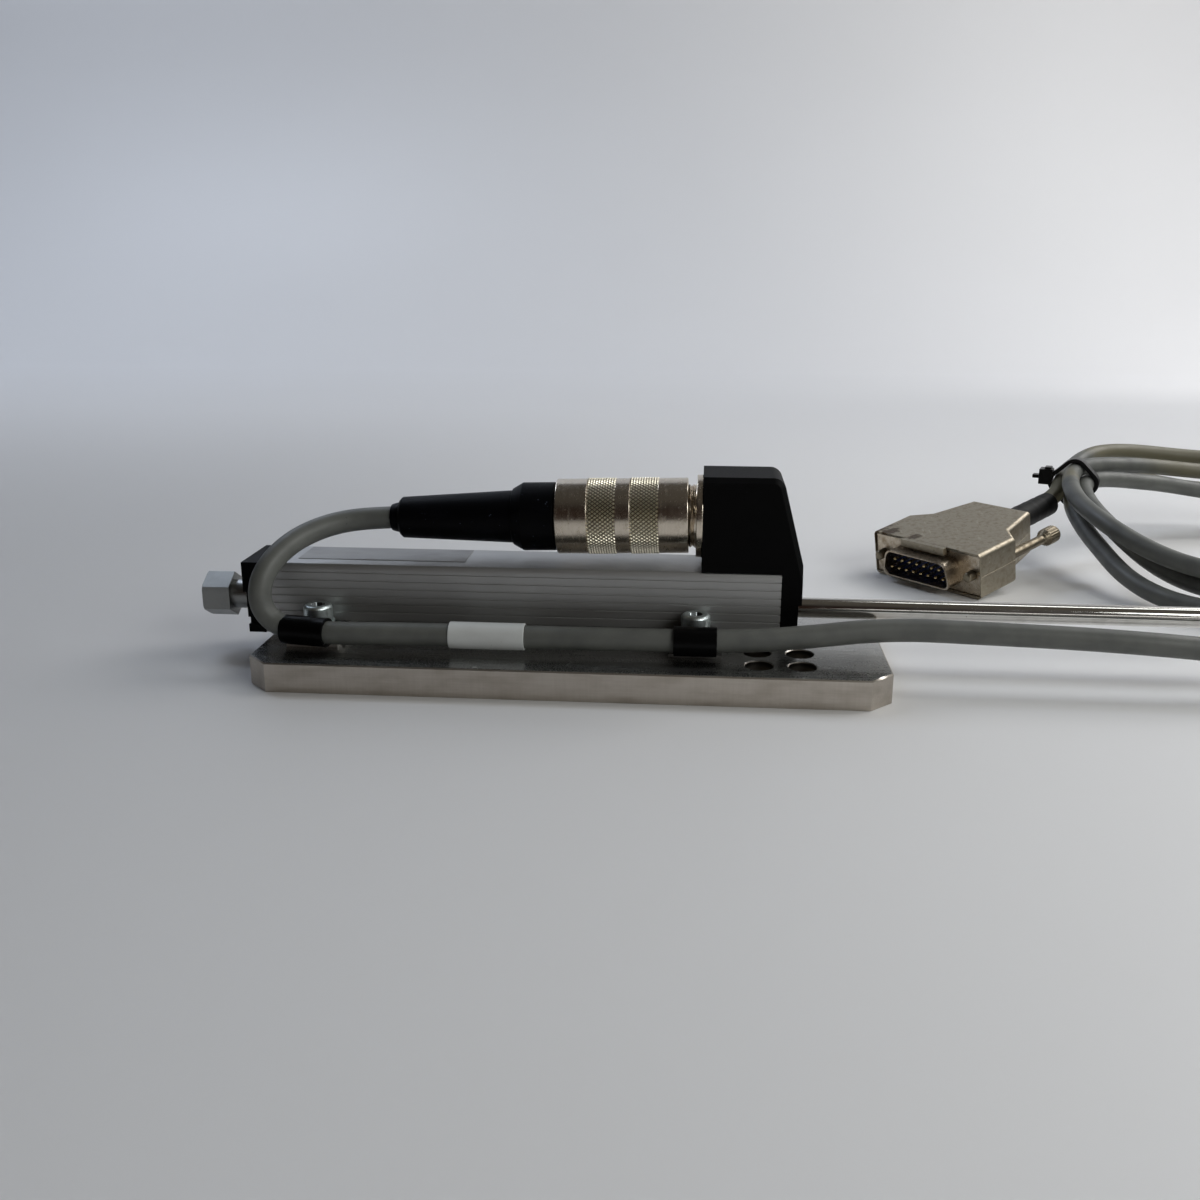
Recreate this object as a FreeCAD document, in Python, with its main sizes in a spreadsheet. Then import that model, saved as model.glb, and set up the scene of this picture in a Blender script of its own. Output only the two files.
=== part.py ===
import FreeCAD, Part
import math
import os
from types import SimpleNamespace

import Sketcher

# A spring-return linear position sensor on a base plate, with its plug, cable and end connector.
# Millimetres, +Z up, +X along the rod. The origin is the middle of the plate's underside.

SIZES = (
    ("plate_length", 150.0, "base plate along the rod"),
    ("plate_width", 62.4, "base plate across the rod"),
    ("plate_thick", 7.2, "base plate thickness"),
    ("plate_corner", 5.4, "corner cut of the plate"),
    ("plate_edge", 0.4, "broken edge on the plate's top"),
    ("pattern_x", 49.8, "middle of the plate's hole group along the rod"),
    ("pattern_y", -18.4, "middle of the plate's hole group across the rod"),
    ("pattern_pitch_x", 10.0, "hole pitch along the rod"),
    ("pattern_pitch_y", 9.0, "hole pitch across the rod"),
    ("pattern_hole", 6.4, "hole diameter"),
    ("pattern_rim", 0.3, "broken rim of a hole"),
    ("rear_face", -82.1, "outer face of the rear cap"),
    ("sensor_length", 137.3, "rear cap face to front cap face"),
    ("rear_cap_thick", 5.2, "rear cap along the rod"),
    ("front_cap_thick", 5.0, "front cap along the rod"),
    ("profile_side", 18.0, "square aluminium profile"),
    ("profile_edge", 0.6, "broken corner of the profile"),
    ("floor_wall", 2.4, "profile wall below the cavity"),
    ("side_wall", 3.3, "profile wall beside the cavity"),
    ("roof_wall", 2.2, "profile wall above the cavity"),
    ("groove_up", 2.1, "underside of the clamp groove above the plate"),
    ("groove_tall", 1.8, "height of the clamp groove"),
    ("groove_deep", 1.4, "depth of the clamp groove"),
    ("flute_up", 6.0, "lowest flute above the plate"),
    ("flute_pitch", 2.0, "flute pitch"),
    ("flute_wide", 0.38, "width of a flute"),
    ("flute_deep", 0.25, "depth of a flute"),
    ("cap_step", 0.8, "set-back of a cap's lower part"),
    ("cap_step_up", 10.4, "height of a cap's lower part"),
    ("spigot_length", 3.0, "spigot of a cap in the cavity"),
    ("spigot_clear", 0.1, "play round a spigot"),
    ("seat_clear", 0.02, "play of a seated piece in its bore"),
    ("screw_clear", 0.05, "play of a screw in its hole"),
    ("cap_screw_out", 7.0, "cap screw from the middle"),
    ("cap_screw_up", 15.2, "cap screw above the plate"),
    ("cap_screw", 2.0, "cap screw thread"),
    ("cap_screw_head", 3.4, "cap screw head"),
    ("cap_screw_head_tall", 1.6, "cap screw head height"),
    ("cap_screw_grip", 6.0, "cap screw length in the profile"),
    ("cap_screw_slot", 0.5, "driving slot of a cap screw"),
    ("head_length", 24.1, "connector head from the front face back"),
    ("head_tall", 40.9, "connector head above the plate"),
    ("head_slope_up", 20.0, "foot of the slanted front above the plate"),
    ("head_slope_run", 5.5, "set-back of the slanted front at the top"),
    ("head_round", 3.0, "round between the slanted front and the top"),
    ("head_bevel", 1.2, "bevel beside the slanted front"),
    ("rod_up", 7.35, "rod axis above the plate"),
    ("rod", 5.0, "rod diameter"),
    ("rod_clear", 0.05, "play of the rod in its bushes"),
    ("rod_out", 108.7, "tip of the rod beyond the front face"),
    ("rod_chamfer", 0.3, "chamfer on the rod's end"),
    ("bush_wall", 1.95, "wall of a rod bush"),
    ("wiper_ring", 0.8, "thickness of a rod wiper"),
    ("tip_ball", 6.4, "ball at the rod's tip"),
    ("tip_seat", 5.5, "ball's end to the rod's end"),
    ("tip_stud", 3.0, "stud of the ball tip"),
    ("tip_stud_length", 8.0, "length of the stud"),
    ("stop_flats", 10.0, "rear stop across flats"),
    ("stop_length", 7.0, "hexagon of the rear stop"),
    ("stop_wall", 1.35, "closed end of the rear stop"),
    ("stop_chamfer", 0.6, "chamfer on the hexagon"),
    ("neck_wall", 1.2, "wall of the rear stop's neck"),
    ("neck_length", 4.5, "neck of the rear stop"),
    ("buffer_thick", 0.8, "rubber buffer on the rear stop"),
    ("rest_gap", 0.05, "buffer to the rear cap at rest"),
    ("carrier_setback", 24.2, "carrier's rear face behind the profile's front end"),
    ("carrier_length", 12.0, "wiper carrier along the rod"),
    ("carrier_clear", 0.4, "play of the carrier in the cavity"),
    ("ring_thick", 0.8, "retaining ring of the carrier"),
    ("ring_wall", 1.8, "retaining ring across its section"),
    ("ring_groove", 0.3, "depth of a ring's groove in the rod"),
    ("contact_tall", 1.2, "space for the contact springs"),
    ("contact_sheet", 0.3, "sheet of a contact spring"),
    ("contact_wide", 2.0, "width of a contact spring"),
    ("contact_out", 2.5, "contact spring from the middle"),
    ("contact_gap", 0.05, "contact spring to the track"),
    ("track_thick", 0.8, "resistance track carrier"),
    ("track_margin", 14.0, "track's end to the rear end of the profile"),
    ("track_length", 106.0, "resistance track"),
    ("track_wide", 10.0, "width of the resistance track"),
    ("spring_wire", 0.8, "return spring wire"),
    ("spring_gap", 1.1, "return spring to the rod"),
    ("label_setback", 7.9, "type plate to the profile's rear end"),
    ("label_length", 42.0, "type plate along the rod"),
    ("label_wide", 11.7, "type plate across the rod"),
    ("label_side", 1.75, "type plate's middle to the profile's middle"),
    ("label_thick", 0.15, "type plate"),
    ("rear_clamp_x", -61.9, "rear pair of clamps"),
    ("front_clamp_x", 30.0, "front pair of clamps"),
    ("clamp_wide", 12.6, "clamp along the rod"),
    ("clamp_sheet", 1.0, "clamp sheet"),
    ("clamp_nose", 0.9, "clamp's nose in the groove"),
    ("clamp_nose_in", 1.2, "clamp's nose reach into the groove"),
    ("clamp_shelf", 7.6, "clamp's shelf beside the profile"),
    ("clamp_foot", 10.3, "clamp's reach beside the profile"),
    ("clamp_foot_wide", 3.3, "clamp's foot on the plate"),
    ("clamp_screw_out", 4.0, "clamp screw beside the profile"),
    ("clamp_hole", 4.4, "screw hole in a clamp"),
    ("bolt", 4.0, "clamp screw thread"),
    ("bolt_head", 7.0, "clamp screw head"),
    ("bolt_head_tall", 4.0, "clamp screw head height"),
    ("bolt_socket", 3.0, "hexagon socket across flats"),
    ("bolt_socket_deep", 2.2, "hexagon socket depth"),
    ("bolt_end_up", 0.5, "clamp screw's end above the plate's underside"),
    ("washer", 7.8, "washer diameter"),
    ("washer_thick", 0.5, "washer thickness"),
    ("washer_clear", 0.15, "play of a washer on its screw"),
    ("cable", 5.5, "cable diameter"),
    ("clip_clear", 0.03, "play of the cable in its clip"),
    ("clip_strap", 0.75, "clip strap"),
    ("clip_wide", 10.0, "clip along the cable"),
    ("clip_reach", 7.6, "cable beside the clip's screw"),
    ("clip_back", 2.4, "clip's tab behind its screw"),
    ("clip_loop_up", 1.55, "cable above the clip's underside"),
    ("tag_start", -27.8, "cable sleeve's rear end"),
    ("tag_length", 17.9, "cable sleeve"),
    ("tag_wall", 0.42, "cable sleeve wall"),
    ("cable_side", 20.6, "cable's straight run beside the rod's axis"),
    ("cable_up", 11.75, "cable's straight run above the floor"),
    ("socket_up", 29.9, "socket axis above the plate"),
    ("socket_flange", 20.0, "socket flange"),
    ("socket_flange_thick", 1.5, "socket flange thickness"),
    ("socket_thread", 15.5, "socket thread"),
    ("socket_reach", 12.6, "socket thread's end outside the head"),
    ("socket_body", 14.0, "socket body in the head"),
    ("socket_depth", 12.0, "socket body's length in the head"),
    ("socket_bore", 13.2, "bore of the socket"),
    ("insert_front", 1.0, "socket insert's face outside the head"),
    ("insert_length", 9.0, "socket insert"),
    ("pin", 1.0, "contact pin"),
    ("pin_reach", 9.0, "pins' ends outside the head"),
    ("pin_tail", 10.0, "pins' tails inside the head"),
    ("pin_circle", 6.6, "pitch circle of the pins"),
    ("plug_gap", 7.2, "plug's datum outside the head"),
    ("ring_front", 3.77, "coupling ring's front end from the plug's datum"),
    ("ring_length", 31.9, "coupling ring"),
    ("ring_dia", 18.3, "coupling ring diameter"),
    ("knurl_dia", 18.7, "knurled bands"),
    ("knurl_length", 6.85, "length of a knurled band"),
    ("front_knurl", 3.35, "front band's front edge behind the datum"),
    ("rear_knurl", 13.69, "rear band's front edge behind the datum"),
    ("ring_edge", 0.4, "broken edges of the coupling ring"),
    ("ring_thread_clear", 0.35, "coupling ring to the socket thread"),
    ("ring_clear", 0.25, "coupling ring to the plug's tube"),
    ("ring_lip", 9.3, "coupling ring's inner shoulder behind the datum"),
    ("nose", 12.6, "plug nose"),
    ("nose_front", 4.5, "plug nose's end from the datum"),
    ("nose_bore", 11.2, "bore of the plug"),
    ("plug_flange", 15.4, "plug flange"),
    ("plug_flange_thick", 3.0, "plug flange thickness"),
    ("flange_clear", 0.3, "plug flange to the ring's shoulder"),
    ("plug_tube", 13.8, "plug's rear tube"),
    ("tube_inset", 2.13, "plug's rear tube ends before the rear sleeve's end"),
    ("plug_insert_front", 3.5, "plug insert's face from the datum"),
    ("plug_insert_length", 6.5, "plug insert"),
    ("pin_play", 0.25, "play of a pin in the plug insert"),
    ("sleeve_dia", 16.7, "rear sleeve"),
    ("sleeve_gap", 0.3, "rear sleeve to the coupling ring"),
    ("sleeve_length", 10.7, "rear sleeve"),
    ("sleeve_shoulder", 2.57, "tapered shoulder of the rear sleeve"),
    ("sleeve_flats", 15.6, "flats on the rear sleeve"),
    ("boot_dia", 12.9, "boot at the rear sleeve"),
    ("boot_end_dia", 10.1, "boot at its thin end"),
    ("boot_length", 28.3, "boot behind the rear sleeve"),
    ("boot_edge", 0.7, "rounded edge of the boot's end"),
    ("collar_wall", 0.45, "boot's collar round the cable"),
    ("collar_length", 2.2, "boot's collar"),
    ("coil_x", 219.0, "middle of the coil along the rod"),
    ("coil_y", 103.0, "middle of the coil across the rod"),
    ("coil_up", 15.4, "middle of the coil above the floor"),
    ("coil_radius", 66.0, "middle of the coiled cable"),
    ("coil_bundle", 13.2, "bundle of the coiled cable"),
    ("tie_wide", 3.5, "cable tie"),
    ("tie_thick", 0.9, "cable tie thickness"),
    ("tie_clear", 0.3, "cable tie to the bundle"),
    ("tie_head", 4.7, "cable tie's lock"),
    ("tie_head_wide", 5.0, "width of the lock"),
    ("connector_x", 100.4, "middle of the connector's flange along the rod"),
    ("connector_y", 74.7, "middle of the connector's flange across the rod"),
    ("connector_up", 7.3, "middle of the connector's flange above the floor"),
    ("flange_wide", 39.2, "connector flange"),
    ("flange_tall", 12.5, "connector flange height"),
    ("flange_thick", 0.8, "connector flange thickness"),
    ("shell_wide", 25.3, "connector shell's wide side"),
    ("shell_tall", 8.4, "connector shell's height"),
    ("shell_lean", 1.5, "slant of the connector shell's ends"),
    ("shell_out", 5.8, "connector shell's depth"),
    ("shell_wall", 0.4, "connector shell's wall"),
    ("shell_round", 2.0, "connector shell's corners"),
    ("insulator_front", 0.4, "insulator's face before the flange"),
    ("insulator_length", 5.4, "insulator"),
    ("pin_pitch", 2.77, "contact pitch"),
    ("pin_row", 1.42, "contact row from the middle"),
    ("pin_front", 5.2, "contact tips before the flange"),
    ("pin_back", 8.0, "contact tails behind the flange"),
    ("hood_wide", 40.0, "hood across"),
    ("hood_rim", 0.6, "hood's rim before the flange"),
    ("hood_straight", 16.0, "hood's straight sides"),
    ("hood_shoulder", 21.0, "hood's shoulders"),
    ("hood_shoulder_wide", 29.0, "hood at its shoulders"),
    ("hood_end", 37.0, "hood's rear end"),
    ("hood_end_wide", 21.0, "hood at its rear end"),
    ("hood_half", 7.25, "thickness of a hood half"),
    ("hood_round", 1.5, "rounded edges of the hood"),
    ("hood_skin", 1.4, "hood's wall over its chamber"),
    ("hood_chamber", 27.6, "hood's chamber across"),
    ("hood_chamber_end", 15.0, "hood's chamber behind the flange"),
    ("flange_play", 0.05, "play of the flange in the hood"),
    ("lip_wide", 16.0, "lip over the connector shell"),
    ("lip_out", 1.6, "lip before the hood's rim"),
    ("lip_thick", 2.35, "lip thickness"),
    ("lock_pitch", 33.32, "thumbscrews apart"),
    ("lock_screw", 3.0, "thumbscrew shaft"),
    ("lock_clear", 0.08, "play of a thumbscrew"),
    ("lock_tip", 3.0, "thumbscrew's tip before the flange"),
    ("lock_head_start", 34.0, "thumbscrew's head behind the flange"),
    ("lock_head_length", 6.5, "thumbscrew's head"),
    ("lock_head", 5.8, "thumbscrew's head diameter"),
    ("lock_slot", 0.8, "thumbscrew's slot"),
    ("lock_slot_deep", 1.2, "depth of the slot"),
    ("lock_collar", 4.0, "collar that keeps a thumbscrew in the hood"),
    ("hood_screw", 2.5, "hood screw"),
    ("hood_screw_head", 4.6, "hood screw head"),
    ("hood_screw_sunk", 1.8, "hood screw head height"),
    ("hood_screw_out", 7.2, "hood screw from the middle"),
    ("hood_screw_back", 25.0, "hood screw behind the flange"),
    ("hood_screw_grip", 4.5, "hood screw in the upper half"),
    ("shrink_wall", 0.85, "shrink sleeve wall"),
    ("shrink_length", 25.0, "shrink sleeve behind the hood"),
)

FLUTES = 6
LOWER_CONTACTS = 8
UPPER_CONTACTS = 7
PIN_SIDES = 8
COIL_SIDES = 12
CORD_SIDES = 12
SOCKET_PINS = 6
SPRING_TURNS = 11
SPRING_STEPS = 10
SPRING_SIDES = 6
PLUG_DROOP = 1.5
REAR_CLIP_TURN = -10.0
CUT_THROUGH = 400.0

# The loose connector lies on its front edge, turned away and with its rear end raised.
CONNECTOR_YAW = -49.0
CONNECTOR_TILT = 10.5

# The cable's coil leans on the connector: higher at its tie than opposite.
COIL_TIE_ANGLE = 157.5
COIL_RISE = 0.13

# The cable from the plug's boot, round to the clips, along the plate and out to the coil.
CABLE_ROUTE = (
    (-41.7, 0.0, 35.39),
    (-52.5, 0.0, 35.1),
    (-62.5, -4.0, 33.6),
    (-69.4, -12.2, 30.4),
    (-73.6, -18.4, 24.4),
    (-74.0, -19.6, 17.0),
    (-68.9, -19.48, 11.75),
    (-54.0, -22.11, 11.75),
    (-40.0, -20.6, 11.75),
    (37.0, -20.6, 11.75),
    (54.0, -18.4, 12.6),
    (75.0, -15.6, 14.6),
    (98.0, -14.9, 13.8),
    (122.0, -15.6, 13.3),
    (146.0, -16.2, 12.0),
    (174.0, -14.2, 8.8),
    (206.0, -5.0, 5.2),
    (236.0, 15.0, 3.4),
    (260.0, 43.0, 3.6),
    (272.0, 66.0, 5.6),
    (277.0, 82.0, 8.0),
)

# The last stretch of the cable, from the tie of the coil into the connector's hood.
LEAD_ROUTE = (
    (162.6, 134.0, 25.6),
    (157.6, 125.6, 23.6),
    (148.64, 116.63, 19.14),
    (124.89, 95.99, 13.31),
)

DOC = FreeCAD.newDocument("linear_position_sensor")
SHEET = DOC.addObject("Spreadsheet::Sheet", "dims")
NODES = []

AXES = {
    "X": FreeCAD.Rotation(FreeCAD.Vector(0, 1, 0), 90),
    "Y": FreeCAD.Rotation(FreeCAD.Vector(1, 0, 0), -90),
    "Z": FreeCAD.Rotation(),
}


class Size:
    """A length with the sheet expression that gives it."""

    def __init__(self, value, text):
        self.value = value
        self.text = text

    @staticmethod
    def of(item):
        if isinstance(item, Size):
            return item
        return Size(float(item), f"({float(item)!r})")

    def __add__(self, other):
        other = Size.of(other)
        return Size(self.value + other.value, f"({self.text} + {other.text})")

    def __radd__(self, other):
        return Size.of(other) + self

    def __sub__(self, other):
        other = Size.of(other)
        return Size(self.value - other.value, f"({self.text} - {other.text})")

    def __rsub__(self, other):
        return Size.of(other) - self

    def __mul__(self, other):
        other = Size.of(other)
        return Size(self.value * other.value, f"({self.text} * {other.text})")

    def __rmul__(self, other):
        return Size.of(other) * self

    def __truediv__(self, other):
        other = Size.of(other)
        return Size(self.value / other.value, f"({self.text} / {other.text})")

    def __neg__(self):
        return Size(-self.value, f"(0 - {self.text})")


def fill_sheet():
    """Write every driving size to the sheet, with its alias and what it is."""
    named = {}
    for row, (name, value, meaning) in enumerate(SIZES, start=1):
        SHEET.set(f"A{row}", name)
        SHEET.set(f"B{row}", str(value))
        SHEET.setAlias(f"B{row}", name)
        SHEET.set(f"C{row}", meaning)
        named[name] = Size(value, f"dims.{name}")
    DOC.recompute()
    return SimpleNamespace(**named)


D = fill_sheet()

# Places that several pieces share.
PLATE_TOP = D.plate_thick
SIDE = D.profile_side / 2
PROFILE_START = D.rear_face + D.rear_cap_thick
FRONT_FACE = D.rear_face + D.sensor_length
PROFILE_END = FRONT_FACE - D.front_cap_thick
CAVITY_SIDE = SIDE - D.side_wall
CAVITY_FLOOR = PLATE_TOP + D.floor_wall
CAVITY_ROOF = PLATE_TOP + D.profile_side - D.roof_wall
PROFILE_TOP = PLATE_TOP + D.profile_side
ROD_Z = PLATE_TOP + D.rod_up
ROD_R = D.rod / 2
BUSH_BORE = ROD_R + D.rod_clear
BUSH_R = BUSH_BORE + D.bush_wall
CAP_BORE = BUSH_R + D.seat_clear
HEAD_LEFT = FRONT_FACE - D.head_length
SOCKET_Z = PLATE_TOP + D.socket_up
CLAMP_TOP = PLATE_TOP + D.groove_up + D.clamp_nose
BOLT_Y = SIDE + D.clamp_screw_out
CABLE_R = D.cable / 2
STOP_FRONT = D.rear_face - D.rest_gap
NECK_FRONT = STOP_FRONT - D.buffer_thick
HEX_FRONT = NECK_FRONT - D.neck_length
HEX_REAR = HEX_FRONT - D.stop_length
ROD_REAR = HEX_REAR + D.stop_wall
ROD_FRONT = FRONT_FACE + D.rod_out - D.tip_seat
CARRIER_REAR = PROFILE_END - D.carrier_setback
CARRIER_FRONT = CARRIER_REAR + D.carrier_length
CARRIER_TOP = CAVITY_ROOF - D.track_thick - D.contact_tall
PLUG_X = HEAD_LEFT - D.plug_gap
RING_REAR = D.ring_front - D.ring_length
FLANGE_REAR = D.flange_clear - D.ring_lip
FLANGE_FRONT = FLANGE_REAR + D.plug_flange_thick
SLEEVE_FRONT = RING_REAR - D.sleeve_gap
SLEEVE_REAR = SLEEVE_FRONT - D.sleeve_length
TUBE_REAR = SLEEVE_REAR + D.tube_inset
BOOT_END = SLEEVE_REAR - D.boot_length
COLLAR_END = BOOT_END - D.collar_length
CABLE_BORE = CABLE_R + D.seat_clear

CONNECTOR_TURN = FreeCAD.Rotation(FreeCAD.Vector(0, 0, 1), CONNECTOR_YAW) * FreeCAD.Rotation(
    FreeCAD.Vector(1, 0, 0), CONNECTOR_TILT
)


def bind(item, prop, size):
    """Tie one property to the sheet."""
    item.setExpression(prop, Size.of(size).text)


def node(item, label):
    """Name a finished sub-part and keep it for writing out."""
    item.Label = label
    NODES.append(item)
    return item


def new_body(label):
    body = DOC.addObject("PartDesign::Body", label)
    body.Label = label
    return body


def place(item, across, along, up, rotation=None):
    """Put an item where its sizes say, turned if asked."""
    spots = [Size.of(spot) for spot in (across, along, up)]
    base = FreeCAD.Vector(*[spot.value for spot in spots])
    item.Placement = FreeCAD.Placement(base, rotation or FreeCAD.Rotation())
    for letter, spot in zip("xyz", spots):
        bind(item, f"Placement.Base.{letter}", spot)
    return item


def sketch_on(body, plane):
    sketch = body.newObject("Sketcher::SketchObject", body.Name + "_sketch")
    base = next(item for item in body.Origin.OriginFeatures if item.Role == plane)
    sketch.AttachmentSupport = [(base, "")]
    sketch.MapMode = "FlatFace"
    return sketch


def pin_down(sketch, geometry, spot, across, up):
    """Tie one point of a sketch to two sizes from the sketch's origin."""
    for kind, size in (("DistanceX", across), ("DistanceY", up)):
        rule = Sketcher.Constraint(kind, -1, 1, geometry, spot, size.value)
        index = sketch.addConstraint(rule)
        sketch.setExpression(f"Constraints[{index}]", size.text)


def outline(sketch, corners):
    """Draw a closed outline whose corners follow their sizes."""
    corners = [(Size.of(across), Size.of(up)) for across, up in corners]
    points = [FreeCAD.Vector(across.value, up.value, 0) for across, up in corners]
    first = sketch.GeometryCount
    count = len(points)
    for index, point in enumerate(points):
        sketch.addGeometry(Part.LineSegment(point, points[(index + 1) % count]), False)
    for index in range(count):
        ahead = first + (index + 1) % count
        sketch.addConstraint(Sketcher.Constraint("Coincident", first + index, 2, ahead, 1))
    for index, (across, up) in enumerate(corners):
        pin_down(sketch, first + index, 1, across, up)
    return sketch


def circle(sketch, across, up, radius):
    """Draw a circle whose middle and radius follow their sizes."""
    across, up, radius = Size.of(across), Size.of(up), Size.of(radius)
    middle = FreeCAD.Vector(across.value, up.value, 0)
    index = sketch.addGeometry(Part.Circle(middle, FreeCAD.Vector(0, 0, 1), radius.value), False)
    pin_down(sketch, index, 3, across, up)
    rule = sketch.addConstraint(Sketcher.Constraint("Radius", index, radius.value))
    sketch.setExpression(f"Constraints[{rule}]", radius.text)
    return sketch


def box_corners(left, right, low, high):
    return [(left, low), (right, low), (right, high), (left, high)]


def pad(body, plane, corners, length, symmetric=False, backwards=False, hole=None):
    """Extrude an outline, with a second outline inside it left open."""
    sketch = outline(sketch_on(body, plane), corners)
    if hole:
        outline(sketch, hole)
    feature = body.newObject("PartDesign::Pad", body.Name + "_pad")
    feature.Profile = sketch
    bind(feature, "Length", length)
    feature.SideType = "Symmetric" if symmetric else "One side"
    feature.Reversed = backwards
    return feature


def cut_through(body, sketch):
    """Cut a sketch right through the body, both ways."""
    feature = body.newObject("PartDesign::Pocket", body.Name + "_cut")
    feature.Profile = sketch
    feature.Length = CUT_THROUGH
    feature.SideType = "Symmetric"
    return feature


def turn(body, corners, plane="XZ_Plane", axis="H_Axis", aside=0):
    """Turn an outline about one axis of its sketch, the sketch moved aside if asked."""
    sketch = outline(sketch_on(body, plane), corners)
    if aside:
        bind(sketch, "AttachmentOffset.Base.x", aside)
    feature = body.newObject("PartDesign::Revolution", body.Name + "_turn")
    feature.Profile = sketch
    feature.ReferenceAxis = (sketch, [axis])
    feature.Angle = 360
    return feature


def turned(label, corners, plane="XZ_Plane", axis="H_Axis", aside=0):
    body = new_body(label)
    turn(body, corners, plane, axis, aside)
    return body


def tube(label, start, end, inner, outer):
    """A plain turned ring along X."""
    return turned(label, box_corners(start, end, inner, outer))


def shape_in(body, kind, sizes, at, axis="Z"):
    """Add or cut one primitive, its axis along X, Y or Z."""
    feature = body.newObject("PartDesign::" + kind, body.Name + "_" + kind)
    feature.Placement = FreeCAD.Placement(FreeCAD.Vector(), AXES[axis])
    for prop, size in sizes.items():
        bind(feature, prop, size)
    for letter, size in zip("xyz", at):
        bind(feature, f"Placement.Base.{letter}", size)
    return feature


def bore(body, radius, length, at, axis):
    return shape_in(body, "SubtractiveCylinder", {"Radius": radius, "Height": length}, at, axis)


def boss(body, radius, length, at, axis):
    return shape_in(body, "AdditiveCylinder", {"Radius": radius, "Height": length}, at, axis)


def prism(body, kind, sides, radius, length, at, axis="Z"):
    """Add or cut a straight many-sided bar."""
    feature = shape_in(body, kind, {"Circumradius": radius, "Height": length}, at, axis)
    feature.Polygon = sides
    return feature


def block(body, kind, low, high):
    """Add or cut a box between two corners."""
    low = [Size.of(item) for item in low]
    high = [Size.of(item) for item in high]
    spans = [top - bottom for bottom, top in zip(low, high)]
    sizes = dict(zip(("Length", "Width", "Height"), spans))
    return shape_in(body, kind, sizes, low)


def edges_where(feature, test):
    """Names of a feature's edges whose middle and ends pass a test."""
    DOC.recompute()
    found = []
    for index, edge in enumerate(feature.Shape.Edges, start=1):
        ends = [vertex.Point for vertex in edge.Vertexes]
        if test(edge.CenterOfMass, ends, edge):
            found.append(f"Edge{index}")
    return found


def dress(body, kind, prop, size, test):
    """Fillet or chamfer the edges of the newest feature that pass a test."""
    base = body.Tip
    names = edges_where(base, test)
    feature = body.newObject("PartDesign::" + kind, body.Name + "_" + kind)
    feature.Base = (base, names)
    bind(feature, prop, size)
    return feature


def group(label, members):
    """Identical small pieces kept together as one sub-part."""
    item = DOC.addObject("Part::Compound", label)
    item.Links = members
    return node(item, label)


def near(first, second, margin=0.01):
    return abs(first - second) < margin


def base_plate():
    """The ground plate with cut corners and its group of four holes."""
    body = new_body("base_plate")
    long, wide, cut = D.plate_length / 2, D.plate_width / 2, D.plate_corner
    corners = [
        (cut - long, -wide),
        (long - cut, -wide),
        (long, cut - wide),
        (long, wide - cut),
        (long - cut, wide),
        (cut - long, wide),
        (-long, wide - cut),
        (-long, cut - wide),
    ]
    pad(body, "XY_Plane", corners, D.plate_thick)
    top = PLATE_TOP.value

    def top_outline(middle, ends, edge):
        return all(near(end.z, top) for end in ends)

    dress(body, "Chamfer", "Size", D.plate_edge, top_outline)
    holes = sketch_on(body, "XY_Plane")
    for along in (-1, 1):
        for across in (-1, 1):
            middle_x = D.pattern_x + along * D.pattern_pitch_x / 2
            middle_y = D.pattern_y + across * D.pattern_pitch_y / 2
            circle(holes, middle_x, middle_y, D.pattern_hole / 2)
    cut_through(body, holes)
    rim = D.pattern_hole.value / 2

    def top_rim(middle, ends, edge):
        round_edge = isinstance(edge.Curve, Part.Circle) and near(edge.Curve.Radius, rim)
        return round_edge and near(middle.z, top)

    dress(body, "Chamfer", "Size", D.pattern_rim, top_rim)
    threads = sketch_on(body, "XY_Plane")
    for spot in (D.rear_clamp_x, D.front_clamp_x):
        for side in (-1, 1):
            circle(threads, spot, side * BOLT_Y, D.bolt / 2 + D.screw_clear)
    cut_through(body, threads)
    node(body, "base_plate")


def groove_cuts(body):
    """Cut the two clamp grooves along a piece of the housing."""
    sketch = sketch_on(body, "YZ_Plane")
    low = PLATE_TOP + D.groove_up
    for side in (-1, 1):
        inner = side * (SIDE - D.groove_deep)
        outer = side * (SIDE + D.groove_deep)
        outline(sketch, box_corners(inner, outer, low, low + D.groove_tall))
    return cut_through(body, sketch)


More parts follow.
